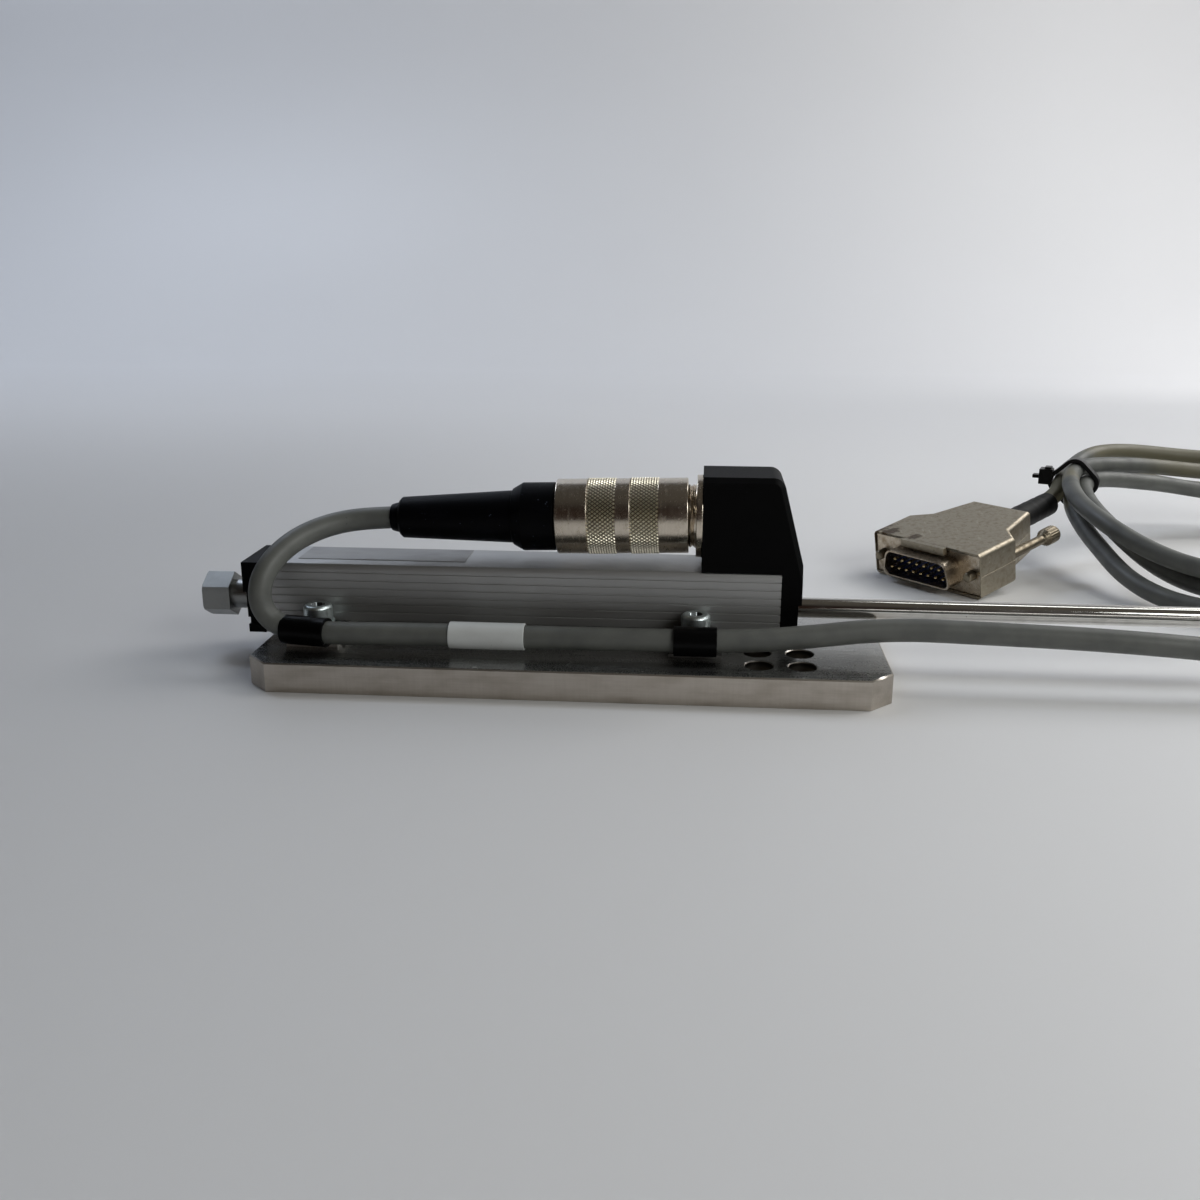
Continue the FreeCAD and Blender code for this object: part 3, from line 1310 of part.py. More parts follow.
def hood_half(label, side):
    """One cast half of the connector's hood, above or below the seam."""
    body = new_body(label)
    wide, shoulder, end = D.hood_wide / 2, D.hood_shoulder_wide / 2, D.hood_end_wide / 2
    corners = [
        (-wide, -D.hood_rim),
        (wide, -D.hood_rim),
        (wide, D.hood_straight),
        (shoulder, D.hood_shoulder),
        (end, D.hood_end),
        (-end, D.hood_end),
        (-shoulder, D.hood_shoulder),
        (-wide, D.hood_straight),
    ]
    pad(body, "XY_Plane", corners, D.hood_half, backwards=side < 0)
    face = side * D.hood_half.value
    front = -D.hood_rim.value

    def outer_edges(middle, ends, edge):
        on_face = all(near(spot.z, face) for spot in ends)
        return on_face and not near(middle.y, front)

    dress(body, "Fillet", "Radius", D.hood_round, outer_edges)

    def hollow(half_wide, start, stop, tall):
        low_z, high_z = (0, tall) if side > 0 else (-tall, 0)
        block(body, "SubtractiveBox", (-half_wide, start, low_z), (half_wide, stop, high_z))

    flange_x = D.flange_wide / 2 + D.flange_play
    flange_z = D.flange_tall / 2 + D.flange_play
    hollow(flange_x, -D.hood_rim, D.flange_thick, flange_z)
    hollow(D.hood_chamber / 2, D.flange_thick, D.hood_chamber_end, D.hood_half - D.hood_skin)
    for end_side in (-1, 1):
        spot = end_side * D.lock_pitch / 2
        bore(body, D.lock_screw / 2 + D.lock_clear, D.hood_end, (spot, 0, 0), "Y")
        boss_x = end_side * D.hood_screw_out
        grip = D.hood_screw_grip if side > 0 else D.hood_half
        start_z = 0 if side > 0 else -D.hood_half
        hole_r = D.hood_screw / 2 + D.screw_clear
        bore(body, hole_r, grip, (boss_x, D.hood_screw_back, start_z), "Z")
        if side < 0:
            sunk_r = D.hood_screw_head / 2 + D.screw_clear
            bore(body, sunk_r, D.hood_screw_sunk, (boss_x, D.hood_screw_back, start_z), "Z")
    bore(body, CABLE_BORE, D.hood_end, (0, D.flange_thick, 0), "Y")
    if side > 0:
        lip = D.lip_wide / 2
        low = (-lip, -D.hood_rim - D.lip_out, D.hood_half - D.lip_thick)
        high = (lip, -D.hood_rim, D.hood_half - D.flange_play)
        block(body, "AdditiveBox", low, high)
    on_connector(body, label)


def connector_hood():
    hood_half("hood_upper", 1)
    hood_half("hood_lower", -1)
    members = []
    for side in (-1, 1):
        screw = new_body(f"hood_screw_{len(members) + 1}")
        spot = (side * D.hood_screw_out, D.hood_screw_back, -D.hood_half)
        boss(screw, D.hood_screw_head / 2, D.hood_screw_sunk, spot, "Z")
        boss(screw, D.hood_screw / 2, D.hood_half + D.hood_screw_grip, spot, "Z")
        members.append(at_connector(screw))
    group("hood_screws", members)


def thumbscrew(label, side):
    """A long locking screw beside the hood, slotted at its head."""
    shaft_r, head_r = D.lock_screw / 2, D.lock_head / 2
    start, end = D.lock_head_start, D.lock_head_start + D.lock_head_length
    chamfer = D.lock_slot / 2
    corners = [
        (0, -D.lock_tip),
        (shaft_r - chamfer, -D.lock_tip),
        (shaft_r, chamfer - D.lock_tip),
        (shaft_r, start),
        (head_r, start),
        (head_r, end - chamfer),
        (head_r - chamfer, end),
        (0, end),
    ]
    aside = side * D.lock_pitch / 2
    body = turned(label, corners, plane="XY_Plane", axis="V_Axis", aside=aside)
    slot = D.lock_slot / 2
    low = (aside - D.lock_head, end - D.lock_slot_deep, -slot)
    high = (aside + D.lock_head, end + D.lock_slot_deep, slot)
    block(body, "SubtractiveBox", low, high)
    on_connector(body, label)


def shrink_sleeve():
    """The shrink sleeve on the cable behind the hood."""
    body = turned(
        "shrink_sleeve",
        box_corners(
            CABLE_BORE,
            CABLE_BORE + D.shrink_wall,
            D.hood_end,
            D.hood_end + D.shrink_length,
        ),
        plane="XY_Plane",
        axis="V_Axis",
    )
    on_connector(body, "shrink_sleeve")


def build():
    base_plate()
    housing_profile()
    rear_cap()
    front_head()
    cap_screws()
    rod_guides()
    resistance_element()
    type_plate()
    push_rod()
    ball_tip()
    rear_stop()
    rod_rings()
    wiper_carrier()
    wiper_contacts()
    return_spring()
    clamps()
    clamp_screws()
    cable_clip("cable_clip_left", D.rear_clamp_x, REAR_CLIP_TURN)
    cable_clip("cable_clip_right", D.front_clamp_x, 0)
    cable_tag()
    socket()
    coupling_ring()
    plug()
    cord("sensor_cable", CABLE_ROUTE, CABLE_R.value)
    cable_coil()
    cord("plug_lead", LEAD_ROUTE, CABLE_R.value)
    shrink_sleeve()
    connector_shell()
    connector_hood()
    thumbscrew("thumbscrew_left", -1)
    thumbscrew("thumbscrew_right", 1)
    DOC.recompute()


def check():
    """Stop if any object failed or any sub-part has no sound solid."""
    for item in DOC.Objects:
        if {"Invalid", "Error"} & set(item.State):
            raise RuntimeError(f"{item.Label} failed: {item.State}")
    for item in NODES:
        if item.Shape.isNull() or not item.Shape.isValid() or not item.Shape.Solids:
            raise RuntimeError(f"{item.Label} has no sound solid")


def write():
    os.makedirs("parts", exist_ok=True)
    for item in NODES:
        item.Shape.exportStep(os.path.join("parts", item.Label + ".step"))
    print(len(NODES), "sub-parts written")


build()
check()
write()
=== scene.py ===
"""Dresses a linear position sensor: plate, housing, rod, round plug, tied cable and end connector."""

import logging
import math
from collections.abc import Callable, Mapping, Sequence
from dataclasses import dataclass
from enum import Enum
from typing import Any

import bmesh
import bpy
from mathutils import Matrix, Vector


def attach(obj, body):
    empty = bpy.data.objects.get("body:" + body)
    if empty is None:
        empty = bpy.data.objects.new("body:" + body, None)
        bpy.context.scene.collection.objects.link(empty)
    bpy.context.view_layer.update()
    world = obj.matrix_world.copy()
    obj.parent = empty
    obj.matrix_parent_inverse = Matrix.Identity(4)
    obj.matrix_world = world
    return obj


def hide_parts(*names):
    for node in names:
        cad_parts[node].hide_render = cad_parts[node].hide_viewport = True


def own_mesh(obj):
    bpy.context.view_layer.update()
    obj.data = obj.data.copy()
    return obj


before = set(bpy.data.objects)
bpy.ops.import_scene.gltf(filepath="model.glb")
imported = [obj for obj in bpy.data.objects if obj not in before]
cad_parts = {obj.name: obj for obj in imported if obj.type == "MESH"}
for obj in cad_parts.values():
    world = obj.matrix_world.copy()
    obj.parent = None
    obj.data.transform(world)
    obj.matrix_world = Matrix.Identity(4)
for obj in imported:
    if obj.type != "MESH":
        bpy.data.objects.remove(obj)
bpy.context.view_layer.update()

LOG = logging.getLogger("position_sensor")
MM = 0.001
TINY = 1e-6
WELD = 0.002 * MM
FLAT_ANGLE = math.radians(1.0)
SHARP_ANGLE = math.radians(38.0)
ROUND_STEPS = 3
ROUND_SHARE = 0.45
STRAIGHT = 0.05

Pair = tuple[float, float]
Triple = tuple[float, float, float]
Shape = Callable[[float, float, float], Triple]

EVEN: Triple = (1.0, 1.0, 1.0)
CLAMP_SCREW_X: Pair = (-61.9, 30.0)
CLAMP_SCREW_Y = 13.0


class Body(Enum):
    """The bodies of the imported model."""

    SENSOR = "sensor"
    ROD = "rod"
    RING = "coupling_ring"
    LEFT_LOCK = "thumbscrew_left"
    RIGHT_LOCK = "thumbscrew_right"


class Lay(Enum):
    """Which way a surface was worked, as the stretch of its streaks."""

    NONE = EVEN
    ALONG = (0.03, 1.0, 1.0)
    AROUND = (1.0, 0.05, 0.05)


class Field:
    """A value in a node tree. Its operators add Math nodes."""

    def __init__(self, tree: "NodeTree", socket: bpy.types.NodeSocket) -> None:
        """Keep a socket with the tree that it belongs to."""
        self.tree = tree
        self.socket = socket

    def join(self, operation: str, first: Any, second: Any = 0.0) -> "Field":
        """Add one Math node.

        Args:
            operation: The node's operation.
            first: Its first value or field.
            second: Its second value or field.

        Returns:
            The node's result.
        """
        return self.tree.node("ShaderNodeMath", {"operation": operation}, {0: first, 1: second})

    def __add__(self, other: Any) -> "Field":
        """Give this plus another."""
        return self.join("ADD", self, other)

    def __radd__(self, other: Any) -> "Field":
        """Give another plus this."""
        return self.join("ADD", other, self)

    def __sub__(self, other: Any) -> "Field":
        """Give this less another."""
        return self.join("SUBTRACT", self, other)

    def __rsub__(self, other: Any) -> "Field":
        """Give another less this."""
        return self.join("SUBTRACT", other, self)

    def __mul__(self, other: Any) -> "Field":
        """Give this times another."""
        return self.join("MULTIPLY", self, other)

    def __rmul__(self, other: Any) -> "Field":
        """Give another times this."""
        return self.join("MULTIPLY", other, self)

    def __truediv__(self, other: Any) -> "Field":
        """Give this divided by another."""
        return self.join("DIVIDE", self, other)

    def __rtruediv__(self, other: Any) -> "Field":
        """Give another divided by this."""
        return self.join("DIVIDE", other, self)

    def __mod__(self, other: Any) -> "Field":
        """Give the rest of this divided by another."""
        return self.join("MODULO", self, other)

    def __rmod__(self, other: Any) -> "Field":
        """Give the rest of another divided by this."""
        return self.join("MODULO", other, self)

    def floor(self) -> "Field":
        """Give the whole number below."""
        return self.join("FLOOR", self)

    def cosine(self) -> "Field":
        """Give the cosine."""
        return self.join("COSINE", self)

    def sine(self) -> "Field":
        """Give the sine."""
        return self.join("SINE", self)

    def root(self) -> "Field":
        """Give the square root."""
        return self.join("SQRT", self)

    def most(self, other: Any) -> "Field":
        """Give the larger of this and another."""
        return self.join("MAXIMUM", self, other)

    def rise(self, low: float, high: float) -> "Field":
        """Give 0 below one value, 1 above another and a smooth step between them.

        Args:
            low: Where the step starts.
            high: Where the step ends.

        Returns:
            The step.
        """
        return self.tree.node(
            "ShaderNodeMapRange",
            {"interpolation_type": "SMOOTHSTEP"},
            {"Value": self, "From Min": low, "From Max": high},
        )


class NodeTree:
    """A node tree of any kind, filled through one method."""

    def __init__(self, tree: bpy.types.NodeTree) -> None:
        """Empty a tree and keep it."""
        self.tree = tree
        tree.nodes.clear()

    def feed(self, socket: bpy.types.NodeSocket, value: Any) -> None:
        """Link a field to a socket, or set the socket's own value.

        Args:
            socket: The input to feed.
            value: A field, a number, a vector, a colour of three parts or a data block.
        """
        if isinstance(value, Field):
            self.tree.links.new(value.socket, socket)
        elif socket.type == "RGBA":
            socket.default_value = (*value[:3], 1.0)
        else:
            socket.default_value = value

    def node(
        self,
        kind: str,
        settings: Mapping[str, Any] | None = None,
        inputs: Mapping[int | str, Any] | None = None,
        output: int | str = 0,
    ) -> Field:
        """Add one node.

        Args:
            kind: The node's type.
            settings: Its settings, set first.
            inputs: The values or fields of its sockets.
            output: The result to give back.

        Returns:
            The chosen result.
        """
        made = self.tree.nodes.new(kind)
        for name, value in (settings or {}).items():
            setattr(made, name, value)
        for key, value in (inputs or {}).items():
            self.feed(made.inputs[key], value)
        return Field(self, made.outputs[output])

    def mix(self, factor: Any, first: Any, second: Any) -> Field:
        """Mix two colours, through the node's colour sockets, which come after those for numbers and vectors.

        Args:
            factor: How much of the second.
            first: The colour below.
            second: The colour on top.

        Returns:
            The mixed colour.
        """
        return self.node("ShaderNodeMix", {"data_type": "RGBA"}, {0: factor, 6: first, 7: second}, 2)

    def vector(
        self, operation: str, first: Any, second: Any = (0.0, 0.0, 0.0), output: str = "Vector"
    ) -> Field:
        """Add one Vector Math node.

        Args:
            operation: The node's operation.
            first: Its first vector.
            second: Its second vector.
            output: The result to give back, a vector or a value.

        Returns:
            The chosen result.
        """
        return self.node("ShaderNodeVectorMath", {"operation": operation}, {0: first, 1: second}, output)

    def joined(self, first: Any, second: Any = 0.0, third: Any = 0.0) -> Field:
        """Join three values into a vector."""
        return self.node("ShaderNodeCombineXYZ", None, {0: first, 1: second, 2: third})

    def parts(self, vector: Any) -> tuple[Field, Field, Field]:
        """Split a vector.

        Args:
            vector: The vector's field.

        Returns:
            Its three parts.
        """
        first = self.node("ShaderNodeSeparateXYZ", None, {0: vector})
        outputs = first.socket.node.outputs
        return first, Field(self, outputs[1]), Field(self, outputs[2])


class Paint(NodeTree):
    """The tree of one material, with the patterns that the finishes share."""

    def __init__(self, name: str) -> None:
        """Start a material with one principled shader.

        Args:
            name: The material's name.
        """
        self.material = bpy.data.materials.new(name)
        self.material.use_nodes = True
        super().__init__(self.material.node_tree)
        self.shader = self.node("ShaderNodeBsdfPrincipled").socket.node
        end = self.tree.nodes.new("ShaderNodeOutputMaterial")
        self.tree.links.new(self.shader.outputs[0], end.inputs["Surface"])

    def surface(self, **sockets: Any) -> None:
        """Feed the shader's sockets, named with underscores for spaces."""
        for name, value in sockets.items():
            self.feed(self.shader.inputs[name.replace("_", " ")], value)

    def place(self, stretch: Triple = EVEN) -> Field:
        """Give the place on the object, stretched if asked."""
        spot = self.node("ShaderNodeTexCoord", None, None, "Object")
        return self.node("ShaderNodeMapping", None, {"Vector": spot, "Scale": stretch})

    def noise(self, size: float, stretch: Triple = EVEN, detail: float = 3.0) -> Field:
        """Give soft noise whose patches have a real size.

        Args:
            size: The size of a patch in millimetres.
            stretch: The scale along each axis.
            detail: How many finer layers it has.

        Returns:
            A value from 0 to 1.
        """
        inputs = {"Vector": self.place(stretch), "Scale": 1.0 / (size * MM), "Detail": detail}
        return self.node("ShaderNodeTexNoise", None, inputs)

    def flecks(self, spacing: float, share: float) -> Field:
        """Give scattered specks of uneven size.

        Args:
            spacing: The mean distance between cells in millimetres.
            share: The largest speck as a share of the spacing.

        Returns:
            1 on a speck and 0 beside it.
        """
        inputs = {"Vector": self.place(), "Scale": 1.0 / (spacing * MM)}
        near = self.node("ShaderNodeTexVoronoi", {"feature": "F1"}, inputs, "Distance")
        size = self.noise(spacing * 2.7, detail=1.0).rise(0.45, 0.75) * share
        return 1.0 - (near / size.most(0.001)).rise(0.6, 1.0)

    def discs(self, middles: Sequence[Pair], inner: float, outer: float) -> Field | float:
        """Mark upright round places, such as bores.

        Args:
            middles: Their middles in millimetres.
            inner: The radius up to which the mark is full.
            outer: The radius where it ends.

        Returns:
            1 inside a round place and 0 outside all of them.
        """
        across, along, _ = self.parts(self.place())
        mark = 0.0
        for middle in middles:
            aside, ahead = across - middle[0] * MM, along - middle[1] * MM
            reach = (aside * aside + ahead * ahead).root()
            mark = (1.0 - reach.rise(inner * MM, outer * MM)).most(mark)
        return mark

    def cover(self, share: Any, colour: Any) -> None:
        """Lay one more colour over the base colour that is there.

        Args:
            share: How much of it shows.
            colour: The colour on top.
        """
        socket = self.shader.inputs["Base Color"]
        below = Field(self, socket.links[0].from_socket)
        self.feed(socket, self.mix(share, below, colour))

    def bump(self, height: Any, strength: float, depth: float) -> Field:
        """Turn a height into a normal.

        Args:
            height: The height's field.
            strength: How much of it is used.
            depth: The height of 1 in millimetres.

        Returns:
            The normal.
        """
        inputs = {"Height": height, "Strength": strength, "Distance": depth * MM}
        return self.node("ShaderNodeBump", None, inputs)


@dataclass(frozen=True)
class Finish:
    """How one kind of surface looks."""

    name: str
    slot: str

    def dress(self, paint: Paint) -> None:
        """Fill a material's tree."""
        raise NotImplementedError

    def material(self) -> bpy.types.Material:
        """Give the finish's material, made once under a name that no solid's material has.

        Returns:
            The material.
        """
        title = self.name + "_finish"
        known = bpy.data.materials.get(title)
        if known:
            return known
        paint = Paint(title)
        self.dress(paint)
        return paint.material


@dataclass(frozen=True)
class Metal(Finish):
    """Bare or plated metal: tone, working lines, tarnish and specks."""

    colour: Triple
    tarnish: Triple
    roughness: float
    lay: Lay = Lay.NONE
    grain: float = 0.5
    grain_depth: float = 0.004
    patch: float = 9.0
    patch_share: float = 0.35
    speck: float = 1.6
    speck_share: float = 0.12
    speck_colour: Triple = (0.05, 0.045, 0.04)

    def dress(self, paint: Paint) -> None:
        """Lay tone, tarnish, specks and working lines over each other.

        Args:
            paint: The material's tree.
        """
        lines = paint.noise(self.grain, self.lay.value, 2.0)
        patches = paint.noise(self.patch, detail=5.0).rise(0.42, 0.75) * self.patch_share
        specks = paint.flecks(self.speck, self.speck_share)
        tone = paint.mix(patches, self.colour, self.tarnish)
        tone = paint.mix((lines - 0.5) * 0.25 + 0.12, tone, self.tarnish)
        tone = paint.mix(specks * 0.85, tone, self.speck_colour)
        rough = self.roughness + (lines - 0.5) * 0.16 + patches * 0.25 + specks * 0.3
        normal = paint.bump(lines - specks * 0.6, 0.5, self.grain_depth)
        paint.surface(Base_Color=tone, Metallic=1.0, Roughness=rough, Normal=normal)


@dataclass(frozen=True)
class ScrewZinc(Metal):
    """Zinc plating with painted shade in the driving sockets of upright screws."""

    sockets: tuple[Pair, ...] = ()
    socket: float = 1.66
    socket_blur: float = 0.05
    socket_shade_colour: Triple = (0.02, 0.022, 0.024)

    def dress(self, paint: Paint) -> None:
        """Plate the screws and paint shade into their sockets.

        Args:
            paint: The material's tree.
        """
        super().dress(paint)
        # Painted shade: the socket recesses are darkened.
        dark = paint.discs(self.sockets, self.socket - self.socket_blur, self.socket + self.socket_blur)
        paint.cover(dark * 0.9, self.socket_shade_colour)


@dataclass(frozen=True)
class Knurling(Metal):
    """Plated knurling, darker and browner towards the floors of its grooves round a tilted axis."""

    origin: Triple = (0.0, 0.0, 0.0)
    axis: Triple = (1.0, 0.0, 0.0)
    low: float = 8.9
    high: float = 9.2
    dirt: Triple = (0.10, 0.075, 0.045)

    def dress(self, paint: Paint) -> None:
        """Plate the tops and darken the grooves.

        Args:
            paint: The material's tree.
        """
        super().dress(paint)
        away = paint.vector("SUBTRACT", paint.place(), Vector(self.origin) * MM)
        aside = paint.vector("CROSS_PRODUCT", away, self.axis)
        reach = paint.vector("LENGTH", aside, output="Value")
        # The groove floors take a darker, browner tone.
        paint.cover((1.0 - reach.rise(self.low * MM, self.high * MM)) * 0.9, self.dirt)


@dataclass(frozen=True)
class Casting(Metal):
    """A plated casting with stains about given places and a scratched skin."""

    stains: tuple[tuple[Triple, float], ...] = ()
    stain: Triple = (0.055, 0.030, 0.012)
    scratch: Triple = (0.62, 0.57, 0.47)

    def dress(self, paint: Paint) -> None:
        """Plate the casting, scratch it and stain it.

        Args:
            paint: The material's tree.
        """
        super().dress(paint)
        scratches = paint.noise(1.1, (1.0, 0.1, 1.0), 4.0).rise(0.60, 0.74)
        paint.cover(scratches * 0.35, self.scratch)
        rough = paint.noise(1.8, detail=6.0)
        for middle, size in self.stains:
            away = paint.vector("DISTANCE", paint.place(), Vector(middle) * MM, "Value")
            near = 1.0 - (away / (size * MM) + (rough - 0.5) * 1.6).rise(0.45, 1.0)
            paint.cover(near * 0.85, self.stain)


@dataclass(frozen=True)
class PlateSteel(Finish):
    """The ground plate: brushed warm edges, a dark, reflecting top with dust on it, and painted shade in its
    bores.
    """

    edge: Triple = (0.60, 0.555, 0.50)
    edge_lines: Triple = (0.37, 0.325, 0.275)
    edge_cloud: Triple = (0.30, 0.255, 0.205)
    top: Triple = (0.42, 0.42, 0.41)
    top_patch: Triple = (0.30, 0.30, 0.29)
    top_fine: Triple = (0.62, 0.62, 0.60)
    dust_colour: Triple = (0.75, 0.74, 0.71)
    grit_colour: Triple = (0.05, 0.046, 0.04)
    bore_painted_shade: Triple = (0.03, 0.028, 0.025)
    top_height: float = 7.1
    top_blur: float = 0.05
    bore: float = 3.24
    bore_blur: float = 0.06
    bore_shade_from: float = 5.4
    bore_shade_full: float = 6.6
    bores: tuple[Pair, ...] = ((44.8, -22.9), (54.8, -22.9), (44.8, -13.9), (54.8, -13.9))

    def dress(self, paint: Paint) -> None:
        """Part the top from the edges by height.

        Args:
            paint: The material's tree.
        """
        _, _, up = paint.parts(paint.place())
        bored = paint.discs(self.bores, self.bore, self.bore + self.bore_blur)
        on_top = up.rise((self.top_height - self.top_blur) * MM, (self.top_height + self.top_blur) * MM)
        lines = paint.noise(0.35, Lay.ALONG.value, 3.0)
        cross = paint.noise(0.55, (1.0, 1.0, 0.06), 3.0)
        patches = paint.noise(14.0, (0.4, 1.0, 1.0), 4.0).rise(0.4, 0.75)
        cloud = paint.noise(3.5, (0.35, 1.0, 1.0), 6.0).rise(0.40, 0.72)
        dust = paint.flecks(0.8, 0.34)
        grit = paint.flecks(0.75, 0.36)
        fine = paint.noise(0.22, detail=2.0).rise(0.35, 0.7)
        edge = paint.mix(lines * 0.40 + cross * 0.35, self.edge, self.edge_lines)
        edge = paint.mix(cloud * 0.45, edge, self.edge_cloud)
        top = paint.mix(patches * 0.4, self.top, self.top_patch)
        top = paint.mix(fine * 0.25, top, self.top_fine)
        top = paint.mix(dust * 0.40, top, self.dust_colour)
        top = paint.mix(grit * 0.75, top, self.grit_colour)
        tone = paint.mix(on_top, edge, top)
        # Painted shade in the bores, darkest just under their rims.
        shade = bored * (0.35 + up.rise(self.bore_shade_from * MM, self.bore_shade_full * MM) * 0.55)
        tone = paint.mix(shade, tone, self.bore_painted_shade)
        worn = patches * 0.1 + dust * 0.3 + fine * 0.08
        rough = 0.36 + (lines - 0.5) * 0.2 - on_top * 0.14 + worn * on_top
        brushed = (lines + cross * 0.6) * (1.0 - on_top * 0.8)
        height = brushed + (dust * 0.2 - grit * 0.4 + fine * 0.14) * on_top
        normal = paint.bump(height, 0.5, 0.007)
        paint.surface(Base_Color=tone, Metallic=1.0, Roughness=rough, Normal=normal)


@dataclass(frozen=True)
class Moulding(Finish):
    """Moulded plastic: near even tone, fine grain, dust and light rubbing, which on the insert is painted
    reflection.
    """

    colour: Triple
    roughness: float
    grain: float = 0.35
    grain_depth: float = 0.006
    dust: float = 1.4
    dust_share: float = 0.10
    dust_colour: Triple = (0.16, 0.17, 0.18)
    rub_and_sheen: Triple = (0.012, 0.012, 0.012)
    shine: float = 0.5

    def dress(self, paint: Paint) -> None:
        """Lay grain, rubbed places and dust over the moulding's tone; on the insert the rubbed places are
        painted reflection streaks.

        Args:
            paint: The material's tree.
        """
        grain = paint.noise(self.grain, detail=2.0)
        rubbed = paint.noise(6.0, (0.5, 1.0, 1.0), 6.0).rise(0.55, 0.8)
        scratch = paint.noise(1.2, (0.06, 1.0, 1.0), 3.0).rise(0.66, 0.78)
        dust = paint.flecks(self.dust, self.dust_share)
        # Rubbed places; where the rub tone is light blue, as on the insert, they are painted reflection.
        tone = paint.mix(rubbed * 0.6 + scratch * 0.4, self.colour, self.rub_and_sheen)
        tone = paint.mix(dust * 0.8, tone, self.dust_colour)
        rough = self.roughness + (grain - 0.5) * 0.12 + rubbed * 0.08 + dust * 0.3
        normal = paint.bump(grain + dust * 0.5 - scratch * 0.4, 0.4, self.grain_depth)
        paint.surface(Base_Color=tone, Roughness=rough, Normal=normal, Specular_IOR_Level=self.shine)


@dataclass(frozen=True)
class Jacket(Finish):
    """The cable's soft plastic jacket, browner and greasier towards the connector."""

    colour: Triple = (0.122, 0.126, 0.115)
    shade: Triple = (0.088, 0.092, 0.085)
    aged: Triple = (0.165, 0.150, 0.092)
    aged_behind: float = 154.0
    lead_left: float = 155.0
    lead_behind: float = 113.5
    dirt_colour: Triple = (0.05, 0.048, 0.04)
    shine: float = 0.45

    def dress(self, paint: Paint) -> None:
        """Mottle the jacket and age its last stretch.

        Args:
            paint: The material's tree.
        """
        across, along, _ = paint.parts(paint.place())
        behind = along.rise((self.aged_behind - 3.0) * MM, (self.aged_behind + 5.0) * MM)
        lead = along.rise((self.lead_behind - 2.0) * MM, (self.lead_behind + 2.0) * MM)
        lead = lead * (1.0 - across.rise((self.lead_left - 2.0) * MM, (self.lead_left + 2.0) * MM))
        mottle = paint.noise(7.0, detail=4.0).rise(0.35, 0.7)
        fine = paint.noise(0.25, detail=2.0)
        dirt = paint.flecks(2.2, 0.12)
        tone = paint.mix(mottle * 0.85, self.colour, self.shade)
        tone = paint.mix(behind.most(lead) * 0.85, tone, self.aged)
        tone = paint.mix(dirt * 0.7, tone, self.dirt_colour)
        rough = 0.46 + (fine - 0.5) * 0.15 + mottle * 0.08
        normal = paint.bump(fine + mottle * 0.8, 0.35, 0.012)
        paint.surface(Base_Color=tone, Roughness=rough, Normal=normal, Specular_IOR_Level=self.shine)


@dataclass(frozen=True)
class Film(Finish):
    """A thin bare film: even tone with handling marks."""

    colour: Triple
    shade: Triple
    roughness: float
    metallic: float = 0.0
    dust_colour: Triple = (0.2, 0.19, 0.18)

    def dress(self, paint: Paint) -> None:
        """Mark the film with faint smears and dust.

        Args:
            paint: The material's tree.
        """
        smear = paint.noise(5.0, (0.4, 1.0, 1.0), 4.0).rise(0.4, 0.8)
        fine = paint.noise(0.3, detail=2.0)
        dust = paint.flecks(1.7, 0.1)
        tone = paint.mix(smear * 0.6, self.colour, self.shade)
        tone = paint.mix(dust * 0.6, tone, self.dust_colour)
        rough = self.roughness + smear * 0.1 + (fine - 0.5) * 0.1
        normal = paint.bump(fine, 0.3, 0.004)
        paint.surface(Base_Color=tone, Metallic=self.metallic, Roughness=rough, Normal=normal)


@dataclass(frozen=True)
class Seat:
    """A place and a turn in the part's frame."""

    origin: Triple = (0.0, 0.0, 0.0)
    turn: Matrix = Matrix.Identity(3)

    def at(self, along: float, across: float = 0.0, up: float = 0.0) -> Vector:
        """Give a point of the seat in metres from its own millimetres."""
        return (Vector(self.origin) + self.turn @ Vector((along, across, up))) * MM

    def shifted(self, along: float, across: float = 0.0, up: float = 0.0) -> "Seat":
        """Give the same turn at another point of the seat."""
        return Seat(tuple(self.at(along, across, up) / MM), self.turn)


def turn_about(axis: str, degrees: float) -> Matrix:
    """Give a turn about one axis as a matrix."""
    return Matrix.Rotation(math.radians(degrees), 3, axis)


ALONG_Z = Matrix(((0, 0, 1), (0, 1, 0), (-1, 0, 0))).transposed()
ROD_SEAT = Seat((0.0, 0.0, 14.55))
SOCKET_SEAT = Seat((31.1, 0.0, 37.1))
PLUG_SEAT = Seat((23.9, 0.0, 37.1), turn_about("Y", -1.5))
CONNECTOR_SEAT = Seat((100.4, 74.7, 7.3), turn_about("Z", -49.0) @ turn_about("X", 10.5))
CONNECTOR_AXIS = Seat(CONNECTOR_SEAT.origin, CONNECTOR_SEAT.turn @ turn_about("Z", 90.0))


